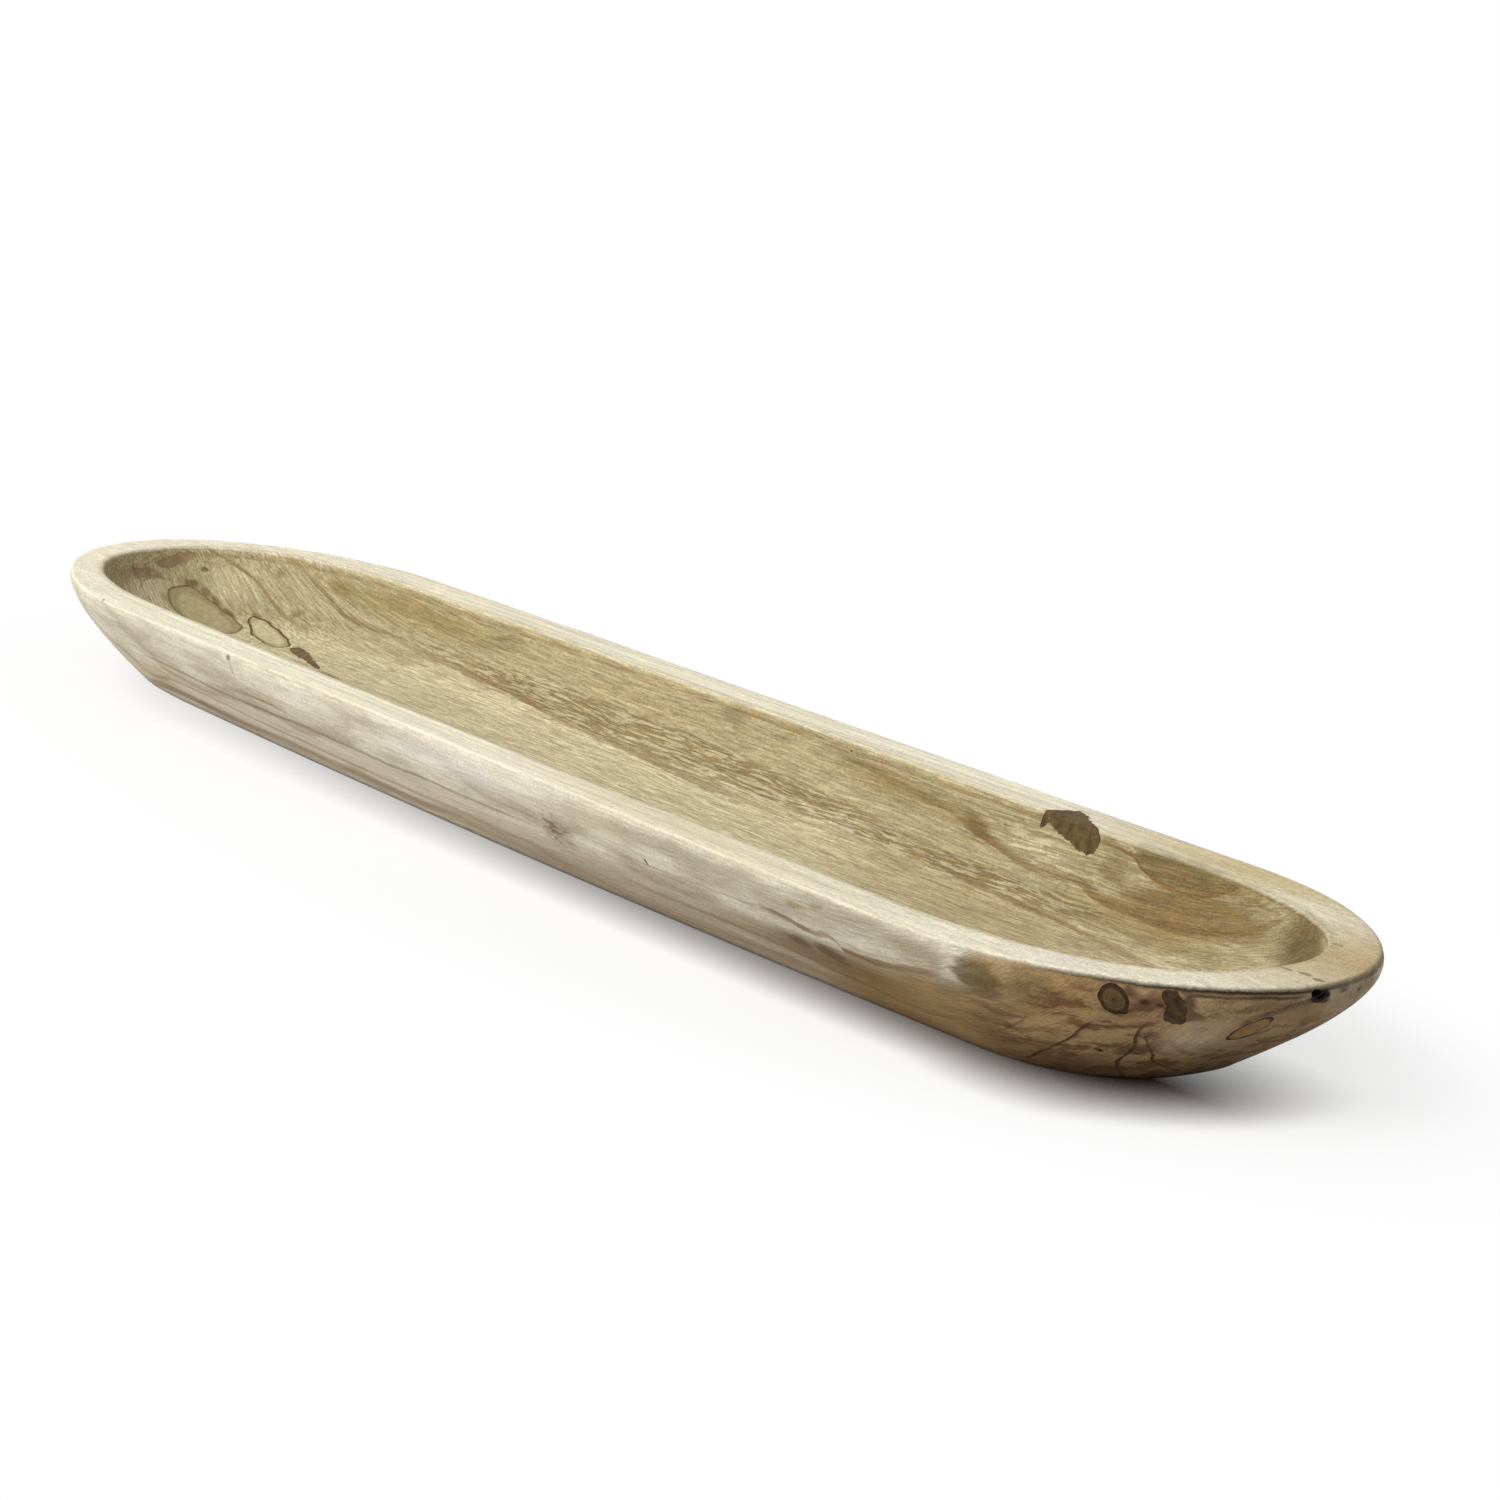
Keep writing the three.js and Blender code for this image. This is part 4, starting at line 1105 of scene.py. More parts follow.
def spot_share(tree, place, spot, size, slope, strength, softness):
    """How strong a soft oval spot is at each point."""
    turn = (0, -radians(slope), 0)
    near = add(
        tree,
        "ShaderNodeMapping",
        {"Vector": place, "Location": spot, "Rotation": turn, "Scale": size},
        vector_type="TEXTURE",
    )
    near = add(tree, "ShaderNodeTexGradient", {"Vector": near}, gradient_type="SPHERICAL")
    near = near.node.outputs["Fac"]
    return add(
        tree, "ShaderNodeMapRange", {"Value": near, "From Max": softness, "To Max": strength}, **SMOOTH
    )


def stained(log, colour, stains, place=None):
    """A colour with stains, whose edges run ragged along the grain if no other place is given."""
    for spot, size, slope, hue, strength, softness in stains:
        share = spot_share(log.tree, place or log.frayed, spot, size, slope, strength, softness)
        colour = add(log.tree, "ShaderNodeMix", {SHARE: share, UNDER: colour, OVER: linear(hue)})
    return colour


# The heights in millimetres between which the wood changes, and how far it does: from the hollow's floor to
# its wall, from there to its pale top, from the upper flank to the lower one, and from the flank to the rim
FLOOR_TO_WALL = (17.5, 22, 0.85)
WALL_TO_TOP = (36, 41, 0.55)
FLANK_TO_FOOT = (27, 18, 0.85)
FLANK_TO_RIM = (36.6, 37.75, 1.0)

# How far noise moves those heights, in millimetres, in the hollow and on the flank
HOLLOW_SWAY = 7.0
FLANK_SWAY = 12.0

# Where the hollow's fibres are torn: place, half sizes, slope, strength and softness. Elsewhere the dark
# strokes are faint
TORN_SPOTS = [
    ((-30, 46, 17.6), (275, 18, 7.6), -0.6, 0.8, 0.42),
    ((170, 44, 15.5), (165, 16, 4.8), 0, 0.85, 0.45),
    ((225, 46, 28), (170, 20, 15), 0, 0.55, 0.7),
]
FAINT_STROKES = 0.36

# Where the right end's brown wood is figured, and where the flank was bruised, given in the same way
FIGURED_END = (366, -30, 14), (90, 66, 30), 0, 1.0, 0.5
BRUISED_FLANK = (72, -56, 19), (19, 12, 11), 30, 0.9, 0.8

# Painted shade near the floor darkens the wood to a share of its colour, up to a height in millimetres
FOOT_SHADE_FROM = -0.5
FOOT_SHADE_TO = 4.2
FOOT_SHADE_SHARE = 0.42

# How strongly fibres, dust and faint growth lines show outside and in the hollow, and bands everywhere
FIBRE_SWING = (0.9, 1.9)
DUST_SWING = (0.85, 1.25)
LINE_SHARES = (0.8, 0.15)
BAND_SWING = 0.5


def hollow_wood(log, axes, colours):
    """Honey heartwood, palest on the floor and at the top, with stains, growth lines and torn fibres."""
    tree = log.tree
    blotches = grain(tree, log.flowing, *HOLLOW_BLOTCHES)
    height = add(
        tree, "ShaderNodeMath", {0: blotches, 1: HOLLOW_SWAY, 2: axes["Z"]}, operation="MULTIPLY_ADD"
    )
    start, end, most = FLOOR_TO_WALL
    wall = {"Value": height, "From Min": start, "From Max": end, "To Max": most}
    wall = add(tree, "ShaderNodeMapRange", wall, **SMOOTH)
    colour = add(tree, "ShaderNodeMix", {SHARE: wall, UNDER: colours.floor_wood, OVER: colours.heartwood})
    start, end, most = WALL_TO_TOP
    upper = add(
        tree, "ShaderNodeMapRange", {"Value": height, "From Min": start, "From Max": end, "To Max": most}
    )
    colour = add(tree, "ShaderNodeMix", {SHARE: upper, UNDER: colour, OVER: colours.pale_heartwood})
    colour = stained(log, colour, HOLLOW_STAINS)
    colour = stained(log, colour, HOLLOW_MARKS, log.wavering)
    colour = lined(tree, colour, axes, FAR_WALL)
    colour = lined(tree, colour, axes, END_WALL)

    # Fibres torn out where the gouge met the grain, in short dark strokes
    torn = FAINT_STROKES
    for spot in TORN_SPOTS:
        torn = add(
            tree, "ShaderNodeMath", {0: spot_share(tree, log.frayed, *spot), 1: torn}, operation="MAXIMUM"
        )
    strokes = {"Value": grain(tree, log.flowing, *TEARS), "From Min": 0.455, "From Max": 0.57}
    strokes = add(tree, "ShaderNodeMapRange", strokes, **SMOOTH)
    tears = add(tree, "ShaderNodeMath", {0: strokes, 1: torn}, operation="MULTIPLY")
    return add(tree, "ShaderNodeMix", {SHARE: tears, UNDER: colour, OVER: colours.torn_fibre}), tears


def flank_wood(log, axes, colours):
    """Pale sapwood, browner towards the foot, with brown figured heartwood at the right end."""
    tree = log.tree
    blotches = grain(tree, log.place, *FLANK_BLOTCHES)
    grey = add(
        tree, "ShaderNodeMapRange", {"Value": blotches, "From Min": 0.44, "From Max": 0.62, "To Max": 0.85}
    )
    colour = add(tree, "ShaderNodeMix", {SHARE: grey, UNDER: colours.sapwood, OVER: colours.grey_sapwood})
    height = add(
        tree, "ShaderNodeMath", {0: blotches, 1: FLANK_SWAY, 2: axes["Z"]}, operation="MULTIPLY_ADD"
    )
    start, end, most = FLANK_TO_FOOT
    low = {"Value": height, "From Min": start, "From Max": end, "To Max": most}
    low = add(tree, "ShaderNodeMapRange", low, **SMOOTH)
    colour = add(tree, "ShaderNodeMix", {SHARE: low, UNDER: colour, OVER: colours.low_sapwood})
    colour = stained(log, colour, FLANK_STAINS)
    colour = lined(tree, colour, axes, FLANK)

    # Dark figure in the brown wood of the right end
    figure = grain(tree, log.frayed, *END_FIGURE)
    figure = {"Value": figure, "From Min": 0.44, "From Max": 0.6, "To Max": 0.85}
    figure = add(tree, "ShaderNodeMapRange", figure, **SMOOTH)
    brown = spot_share(tree, log.frayed, *FIGURED_END)
    figure = add(tree, "ShaderNodeMath", {0: figure, 1: brown}, operation="MULTIPLY")
    colour = add(tree, "ShaderNodeMix", {SHARE: figure, UNDER: colour, OVER: colours.end_figure})

    # Where the flank was bruised, short dark specks
    bruise = spot_share(tree, log.frayed, *BRUISED_FLANK)
    specks = grain(tree, log.place, *BRUISE_SPECKS)
    specks = add(tree, "ShaderNodeMapRange", {"Value": specks, "From Min": 0.52, "From Max": 0.6})
    bruise = add(tree, "ShaderNodeMath", {0: bruise, 1: specks}, operation="MULTIPLY")
    colour = add(tree, "ShaderNodeMix", {SHARE: bruise, UNDER: colour, OVER: colours.bruise})
    colour = lined(tree, colour, axes, RIGHT_END)
    # Painted shade under the rim's overhang at the right end
    colour = lined(tree, colour, axes, UNDER_RIM_SHADE)
    return stained(log, colour, FLANK_MARKS, log.wavering)


def rim_wood(log, colours):
    """The rim's sanded top: the palest wood, streaked along the grain."""
    streaks = grain(log.tree, log.place, *RIM_STREAKS)
    share = add(
        log.tree,
        "ShaderNodeMapRange",
        {"Value": streaks, "From Min": 0.42, "From Max": 0.66, "To Max": 0.38},
    )
    colour = add(log.tree, "ShaderNodeMix", {SHARE: share, UNDER: colours.rim, OVER: colours.rim_streak})
    colour = stained(log, colour, RIM_STAINS)
    return stained(log, colour, RIM_MARKS, log.wavering)


def paulownia_carved(colours):
    """Paulownia, hewn, sanded and left raw: dry pale sapwood, honey heartwood, silky fibres."""
    material, tree, place = bare_material("paulownia_carved")
    log = felled_log(tree, place)
    parts = add(tree, "ShaderNodeSeparateXYZ", {"Vector": log.wavering}).node.outputs
    axes = {name: parts[name] for name in "XYZ"}
    slant = add(tree, "ShaderNodeMath", {0: axes["X"], 1: axes["Y"]}, operation="ADD")
    axes["slant"] = add(tree, "ShaderNodeMath", {0: slant, 1: sqrt(0.5)}, operation="MULTIPLY")
    inside, tears = hollow_wood(log, axes, colours)
    flanks = flank_wood(log, axes, colours)
    start, end, _ = FLANK_TO_RIM
    top = add(tree, "ShaderNodeMapRange", {"Value": axes["Z"], "From Min": start, "From Max": end})
    outside = add(tree, "ShaderNodeMix", {SHARE: top, UNDER: flanks, OVER: rim_wood(log, colours)})

    # Painted shade makes the rounded edge between flank and rim a little duller than both
    painted_edge_shade = add(tree, "ShaderNodeMath", {0: top, 1: -0.5}, operation="ADD")
    painted_edge_shade = add(tree, "ShaderNodeMath", {0: painted_edge_shade, 1: painted_edge_shade}, operation="MULTIPLY")
    painted_edge_shade = add(tree, "ShaderNodeMath", {0: painted_edge_shade, 1: 0.8, 2: 0.8}, operation="MULTIPLY_ADD")
    outside = add(tree, "ShaderNodeVectorMath", {0: outside, "Scale": painted_edge_shade}, operation="SCALE")
    colour = add(tree, "ShaderNodeMix", {SHARE: log.hollow, UNDER: outside, OVER: inside})

    # Faint growth lines all over, less on the rim and in the hollow
    shown, fibre_depth, dust_depth = [
        add(tree, "ShaderNodeMapRange", {"Value": log.hollow, "To Min": beyond, "To Max": within})
        for beyond, within in (LINE_SHARES, FIBRE_SWING, DUST_SWING)
    ]
    line = add(tree, "ShaderNodeMath", {0: growth_lines(log), 1: shown}, operation="MULTIPLY")
    off_rim = add(
        tree, "ShaderNodeMapRange", {"Value": axes["Z"], "From Min": 38, "From Max": 22, "To Min": 0.15}
    )
    line = add(tree, "ShaderNodeMath", {0: line, 1: off_rim}, operation="MULTIPLY")
    colour = add(tree, "ShaderNodeMix", {SHARE: line, UNDER: colour, OVER: colours.ring_line})

    # Silky fibres and dusty specks, both strongest in the hollow, and broad light and dark bands
    fibres = grain(tree, log.flowing, *FIBRES)
    bands = grain(tree, log.flowing, *BANDS)
    dust = grain(tree, place, *DUST)
    for pattern, depth in ((fibres, fibre_depth), (bands, BAND_SWING), (dust, dust_depth)):
        colour = swung(tree, colour, pattern, depth)
    # Painted shade darkens the wood towards the foot, where it comes close to the floor
    painted_foot_shade = {"Value": axes["Z"], "From Min": FOOT_SHADE_FROM, "From Max": FOOT_SHADE_TO, "To Min": FOOT_SHADE_SHARE}
    painted_foot_shade = add(tree, "ShaderNodeMapRange", painted_foot_shade, **SMOOTH)
    colour = add(tree, "ShaderNodeVectorMath", {0: colour, "Scale": painted_foot_shade}, operation="SCALE")

    # Fibres stand up and tears lie deep, by these shares of a millimetre
    relief = 0.0
    for pattern, rise in ((fibres, 0.1), (tears, -0.2), (dust, 0.12)):
        relief = add(tree, "ShaderNodeMath", {0: pattern, 1: rise, 2: relief}, operation="MULTIPLY_ADD")
    roughness = add(tree, "ShaderNodeMapRange", {"Value": fibres, "To Min": 0.85, "To Max": 0.6})
    finish_surface(tree, colour, roughness, relief)
    return material


class KnotLook(NamedTuple):
    """How a dead knot looks: its half sizes, its wood, rings and edge, and how many rings it has.

    The last three say how dark its rings, its edge and its pith are.
    """
    size: tuple
    wood: str
    ring: str
    edge: str
    turns: float
    ring_dark: float
    edge_dark: float
    pith_dark: float


# The knots by the names of their CAD solids
KNOT_LOOKS = {
    "round_knot": KnotLook((3.5, 3.5), "6f5636", "4b3722", "2f2116", 3.0, 0.6, 0.6, 0.8),
    "end_oval_knot": KnotLook((8.6, 3.4), "ad875a", "8a6844", "23170e", 2.0, 0.45, 1.0, 0.0),
    "great_knot": KnotLook((21.5, 7.2), "b5a67f", "9c8b62", "8c7855", 3.0, 0.3, 0.5, 0.15),
    "drop_knot": KnotLook((22, 4.2), "cabd96", "b3a27a", "8a7653", 2.0, 0.25, 0.5, 0.0),
}


def knot_wood(name, seat, look):
    """Dead knot, cut across and sanded: brown rings round a dark pith, denser than the wood round it."""
    material, tree, place = bare_material("dead_knot_" + name)
    local = add(
        tree,
        "ShaderNodeMapping",
        {
            "Vector": strayed(tree, place, *KNOT_WAVER),
            "Location": seat.place.translation,
            "Rotation": seat.place.to_euler(),
            "Scale": (*look.size, 10),
        },
        vector_type="TEXTURE",
    )
    out = add(tree, "ShaderNodeVectorMath", {0: local, 1: (1, 1, 0)}, operation="MULTIPLY")
    out = add(tree, "ShaderNodeVectorMath", {0: out}, operation="LENGTH")
    rings = add(tree, "ShaderNodeMath", {0: out, 1: look.turns}, operation="MULTIPLY")
    rings = add(tree, "ShaderNodeMath", {0: rings}, operation="FRACT")
    rings = {"Value": rings, "From Min": 0.3, "From Max": 1.0, "To Max": look.ring_dark}
    rings = add(tree, "ShaderNodeMapRange", rings)
    colour = add(tree, "ShaderNodeMix", {SHARE: rings, UNDER: linear(look.wood), OVER: linear(look.ring)})

    # The pith in the middle and the edge are dark
    pith = {"Value": out, "From Min": 0.24, "From Max": 0.05, "To Max": look.pith_dark}
    edge = {"Value": out, "From Min": 0.72, "From Max": 1.0, "To Max": look.edge_dark}
    pith, edge = [add(tree, "ShaderNodeMapRange", spans, **SMOOTH) for spans in (pith, edge)]
    dark = add(tree, "ShaderNodeMath", {0: pith, 1: edge}, operation="MAXIMUM")
    colour = add(tree, "ShaderNodeMix", {SHARE: dark, UNDER: colour, OVER: linear(look.edge)})
    mottle = grain(tree, place, *KNOT_MOTTLE)
    shine = {"Value": mottle, "From Min": 0.3, "From Max": 0.7, "To Min": 0.76, "To Max": 1.18}
    shine = add(tree, "ShaderNodeMapRange", shine)
    colour = add(tree, "ShaderNodeVectorMath", {0: colour, "Scale": shine}, operation="SCALE")
    relief = add(tree, "ShaderNodeMath", {0: rings, 1: -0.12}, operation="MULTIPLY")
    relief = add(tree, "ShaderNodeMath", {0: mottle, 1: 0.1, 2: relief}, operation="MULTIPLY_ADD")
    finish_surface(tree, colour, 0.65, relief)
    return material


def knot_bark(name, dark, pale):
    """Bark shut in round a knot, sanded level: dark, corky and crumbling."""
    material, tree, place = bare_material(name)
    crumbs = grain(tree, place, *BARK_CRUMBS)
    share = add(tree, "ShaderNodeMapRange", {"Value": crumbs, "From Min": 0.35, "From Max": 0.65})
    colour = add(tree, "ShaderNodeMix", {SHARE: share, UNDER: dark, OVER: pale})
    relief = add(tree, "ShaderNodeMath", {0: crumbs, 1: 0.4}, operation="MULTIPLY")
    finish_surface(tree, colour, 0.85, relief)
    return material


def wood_putty(name, dark, pale):
    """Wood putty, knifed in and sanded flush: brown, matt and mottled, with pinholes and pale specks."""
    material, tree, place = bare_material(name)
    mottle = grain(tree, place, *PUTTY_MOTTLE)
    share = add(tree, "ShaderNodeMapRange", {"Value": mottle, "From Min": 0.35, "From Max": 0.65})
    colour = add(tree, "ShaderNodeMix", {SHARE: share, UNDER: dark, OVER: pale})

    # Some cells of a pattern hold a pinhole, and a few others a pale speck
    cells = add(tree, "ShaderNodeTexVoronoi", {"Vector": place, "Scale": 1 / PUTTY_CELL, "Randomness": 1.0})
    chosen = add(tree, "ShaderNodeSeparateColor", {"Color": cells.node.outputs["Color"]})
    dots = []
    for rim, core, test, limit, hue in (PINHOLE, PALE_SPECK):
        dot = add(tree, "ShaderNodeMapRange", {"Value": cells, "From Min": rim, "From Max": core})
        held = add(tree, "ShaderNodeMath", {0: chosen, 1: limit}, operation=test)
        dot = add(tree, "ShaderNodeMath", {0: dot, 1: held}, operation="MULTIPLY")
        colour = add(tree, "ShaderNodeMix", {SHARE: dot, UNDER: colour, OVER: linear(hue)})
        dots.append(dot)
    relief = add(tree, "ShaderNodeMath", {0: mottle, 1: 0.12}, operation="MULTIPLY")
    relief = add(tree, "ShaderNodeMath", {0: dots[0], 1: -0.3, 2: relief}, operation="MULTIPLY_ADD")
    finish_surface(tree, colour, 0.7, relief)
    return material


def colour_property(label, text, code):
    """A colour that a user may change, given as an sRGB hex code."""
    return FloatVectorProperty(
        name=label, description=text, default=linear(code), size=4, min=0.0, max=1.0, subtype="COLOR"
    )


def length_property(label, text, millimetres):
    """A length that a user may change, given in millimetres."""
    return FloatProperty(
        name=label, description=text, default=millimetres * MM, min=0.0, unit="LENGTH", precision=4
    )


class BowlSizes(bpy.types.PropertyGroup):
    """Sizes of the bowl."""
    length: length_property("Length", "Tip to tip along the rim", CAD_SIZE[0] / MM)
    width: length_property("Width", "Across the rim in the middle", CAD_SIZE[1] / MM)
    height: length_property("Height", "From the foot to the top of the rim", CAD_SIZE[2] / MM)
    edge_round: length_property("Edge rounding", "Radius of the rim's two edges", 1.2)
    rim_side_wall: length_property("Rim at the sides", "Breadth of the rim's flat top at the sides", 13.2)
    rim_end_wall: length_property("Rim at the tips", "Breadth of the rim's flat top at the tips", 21.9)
    floor_thickness: length_property("Floor thickness", "Wood left under the middle of the hollow", 10)
    floor_dish: length_property("Floor dish", "How far the floor rises from its middle to its edge", 3)
    unevenness: length_property("Unevenness", "How far hand carving strays from the drawn shape", 0.3)
    around: IntProperty(
        name="Points around", description="Points in each ring of the mesh", default=600, min=48
    )


class BowlColours(bpy.types.PropertyGroup):
    """Colours of the wood, its knots and its fills."""
    rim: colour_property("Rim", "Palest wood, on the rim's sanded top", "f5eed5")
    rim_streak: colour_property("Rim streaks", "Darker grain that runs along the rim", "cfbf99")
    sapwood: colour_property("Sapwood", "Pale wood of the outside", "ece3cb")
    grey_sapwood: colour_property("Grey sapwood", "Weathered blotches of the outside", "d3c9b1")
    low_sapwood: colour_property("Low sapwood", "Browner wood of the flanks near the foot", "e0d1b8")
    end_figure: colour_property("End figure", "Dark figure of the brown wood at the right end", "6b4a2e")
    bruise: colour_property("Bruise", "Dark specks where the flank was bruised", "7d6d4f")
    heartwood: colour_property("Heartwood", "Brown wood of the hollow's walls", "ada07b")
    pale_heartwood: colour_property("Pale heartwood", "Paler wood high on the hollow's walls", "cdbf97")
    floor_wood: colour_property("Floor wood", "Honey wood of the hollow's floor", "d6c9a4")
    ring_line: colour_property("Ring lines", "Brown lines where a ring of growth ends", "8f7148")
    torn_fibre: colour_property("Torn fibres", "Dark strokes where the hollow's fibres are torn", "876c3c")
    bark: colour_property("Bark", "Dark bark round the knot in the flank", "33261a")
    pale_bark: colour_property("Pale bark", "Dry bark in the hollow", "86704f")
    putty: colour_property("Putty", "Brown filler", "4b3a22")
    pale_putty: colour_property("Pale putty", "Where the filler is thin or dusty", "6c5836")


class StageSettings(bpy.types.PropertyGroup):
    """The floor and the studio's light."""
    floor: colour_property("Floor", "Pale floor under the bowl", "f4f4f2")
    floor_size: FloatProperty(
        name="Floor size", description="Length of the floor's sides", default=24.0, min=1.0, unit="LENGTH"
    )
    sky: FloatProperty(
        name="Sky", description="Strength of the even light from all round", default=0.42, min=0.0
    )
    key: FloatProperty(
        name="Key light", description="Power of the big soft box", default=43.0, min=0.0, subtype="POWER"
    )
    key_size: FloatProperty(
        name="Key size", description="Length of the soft box's sides", default=2.2, min=0.01, unit="LENGTH"
    )


def settle(piece, slot, *nodes):
    """Makes a finished piece part of the bowl, in place of its CAD solids."""
    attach(piece, "root")
    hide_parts(*nodes)


# The putty's outline in its slanting seat, in millimetres: along the rim, and up over its edge
WALL_FILL = [
    (-15.6, -2.9), (-16.2, -0.9), (-13.6, 3.4), (-8.8, 6.8), (-3, 6.4), (2.6, 4.6), (8, 3), (13.4, 1.8),
    (16.6, -1.2), (16.0, -3.6), (12.0, -5.9), (4.8, -5.1), (-2.4, -3.7), (-8, -2.4), (-11.4, -1.4),
]


# The point at the far wall's edge that the putty's seat faces, and how far from it a line to it starts
RIM_SEAT = Vector((202, 49, 36))
RIM_SEAT_FROM = 30


def rim_seat(surface):
    """The seat of the putty that wraps from the far wall over the rim's edge."""
    out = Vector((0, -1, 1))
    spot, _ = cast(surface, RIM_SEAT + out * RIM_SEAT_FROM, -out.normalized())
    return seat_place(spot, out.normalized(), 0)


def insets(surface):
    """Every inset's seat, by the name of its CAD solid: its place, its outline and how deep it goes."""
    seats = {
        "round_knot": (on_front(surface, 367.2, 31.6), ragged(oval(3.5, 3.5), 2, 0.4), 7),
        "end_oval_knot": (on_front(surface, 385.2, 24, -5, False), ragged(oval(8.6, 3.4), 4, 0.5), 5),
        "great_knot": (
            in_hollow(surface, -346.5, 4.8, 5), ragged(scaled_outline(EGG, 43, 14.4), 5, 1.0), 6
        ),
        "drop_knot": (
            in_hollow(surface, -313, 16.5, -9), ragged(scaled_outline(DROP, 44, 8.4), 5, 0.7), 5
        ),
        "side_fill": (
            on_front(surface, 380.2, 31), ragged(scaled_outline(KIDNEY, 6.6, 10.2), 1.6, 0.7), 4.5
        ),
        "wall_fill": (rim_seat(surface), ragged(through(WALL_FILL, INSET_SEGMENTS), 1.5, 0.7), 6),
        "tail_fill": (
            in_hollow(surface, -267, 12.3, -10), ragged(scaled_outline(TAIL, 44, 5.6), 3, 0.7), 4
        ),
    }
    for name, across, height, length, depth in END_PATCHES:
        outline = ragged(scaled_outline(PATCH, length, 4.6), 1.6, depth)
        seats[name] = (on_left_wall(surface, across, height, 90), outline, 4)
    return {name: Seat(*seat) for name, seat in seats.items()}


def crumbled(size, depth):
    """A relief that crumbles away, with lumps of a size, down to a depth."""
    return lambda spot: -depth * (0.5 + 0.5 * noise.noise(Vector((spot.x / size, spot.y / size, depth))))


# The carved surface before its pockets are cut, which every inset follows
CARVED = {}


def carved_surface():
    """The surface that the body was carved to."""
    if "surface" not in CARVED:
        raise RuntimeError("carve the bowl first: the insets follow its surface")
    return CARVED["surface"]


BARKED = ("round_knot", "great_knot", "drop_knot")


class BOWL_OT_carve(bpy.types.Operator):
    """Carve the bowl's body, with the pockets for its knots and fills"""
    bl_idname = "bowl.carve"
    bl_label = "Carve the bowl"

    def execute(self, context):
        sizes = context.scene.bowl_sizes
        solid = carved_bowl_mesh(sizes)
        surface = BVHTree.FromBMesh(solid)
        CARVED["surface"] = surface
        hollow = solid.verts.layers.float["in_hollow"]
        points = [(point.co.copy(), point[hollow]) for point in solid.verts]
        body = finished(solid, "carved_bowl", paulownia_carved(context.scene.bowl_colours))
        cutters = bmesh.new()
        for name, seat in insets(surface).items():
            bark = SEAT_GAP / 2 + BARK_THICKNESS if name in BARKED else 0
            pocket(cutters, seat, bark + SEAT_GAP)
        for spot, size, turn in PITS:
            pit(cutters, spot, size, turn)
        cut(body, cutters)
        mark_hollow(body, points)
        settle(body, "carved_wood", "bowl_body")
        return {"FINISHED"}


class BOWL_OT_set_knots(bpy.types.Operator):
    """Set the dead knots and their bark into their pockets"""
    bl_idname = "bowl.set_knots"
    bl_label = "Set the knots"

    def execute(self, context):
        colours = context.scene.bowl_colours
        surface = carved_surface()
        seats = insets(surface)
        barks = {
            "round_knot": knot_bark("bark_black", colours.bark, linear("5a452c")),
            "great_knot": knot_bark("bark_dry", colours.pale_bark, linear("96825f")),
            "drop_knot": knot_bark("bark_thin", linear("5c4930"), linear("7f6b49")),
        }
        for name, look in KNOT_LOOKS.items():
            seat = seats[name]
            wood = knot_wood(name, seat, look)
            knot = finished(plug(surface, seat, crumbled(3, 0.1)), name + "_wood", wood)
            settle(knot, "knot_wood", name)
            if name in barks:
                band = sleeve(surface, seat, crumbled(1.2, 0.3))
                bark = finished(band, name + "_bark_band", barks[name])
                settle(bark, "bark", name + "_bark")
        return {"FINISHED"}


class BOWL_OT_fill_voids(bpy.types.Operator):
    """Fill the faults in the wood with brown putty"""
    bl_idname = "bowl.fill_voids"
    bl_label = "Fill the voids"

    def execute(self, context):
        colours = context.scene.bowl_colours
        surface = carved_surface()
        putty = wood_putty("wood_putty", colours.putty, colours.pale_putty)
        dusty = wood_putty("dusty_putty", linear("80684e"), linear("a08a6c"))
        brown = wood_putty("brown_putty", linear("5f4a30"), linear("806a48"))
        dark = wood_putty("dark_putty", linear("33251a"), linear("6b563b"))
        materials = {
            "side_fill": dark,
            "wall_fill": putty,
            "tail_fill": brown,
            "end_patch_low": dusty,
            "end_patch_high": dusty,
        }
        seats = insets(surface)
        for name, material in materials.items():
            fill = finished(plug(surface, seats[name], crumbled(4, 0.12)), name + "_putty", material)
            settle(fill, "putty", name)
        return {"FINISHED"}


class BOWL_OT_set_stage(bpy.types.Operator):
    """Lay the pale floor, hang the soft light and place the camera"""
    bl_idname = "bowl.set_stage"
    bl_label = "Set the stage"

    def execute(self, context):
        stage = context.scene.bowl_stage
        bm = bmesh.new()
        bmesh.ops.create_grid(bm, x_segments=1, y_segments=1, size=stage.floor_size / MM / 2)
        floor = finished(bm, "floor", pale_floor(stage))
        even_light(context.scene, stage)
        soft_box(context.scene, stage)
        place_camera(context.scene)
        context.scene.view_settings.view_transform = "Standard"
        return {"FINISHED"}


def seen_directly(tree):
    """1 for the rays that see a thing directly, in a mirror or through glass, and 0 for its light."""
    rays = add(tree, "ShaderNodeLightPath").node.outputs
    seen = 0.0
    for kind in ("Is Camera Ray", "Is Glossy Ray", "Is Transmission Ray"):
        seen = add(tree, "ShaderNodeMath", {0: seen, 1: rays[kind]}, operation="MAXIMUM")
    return seen


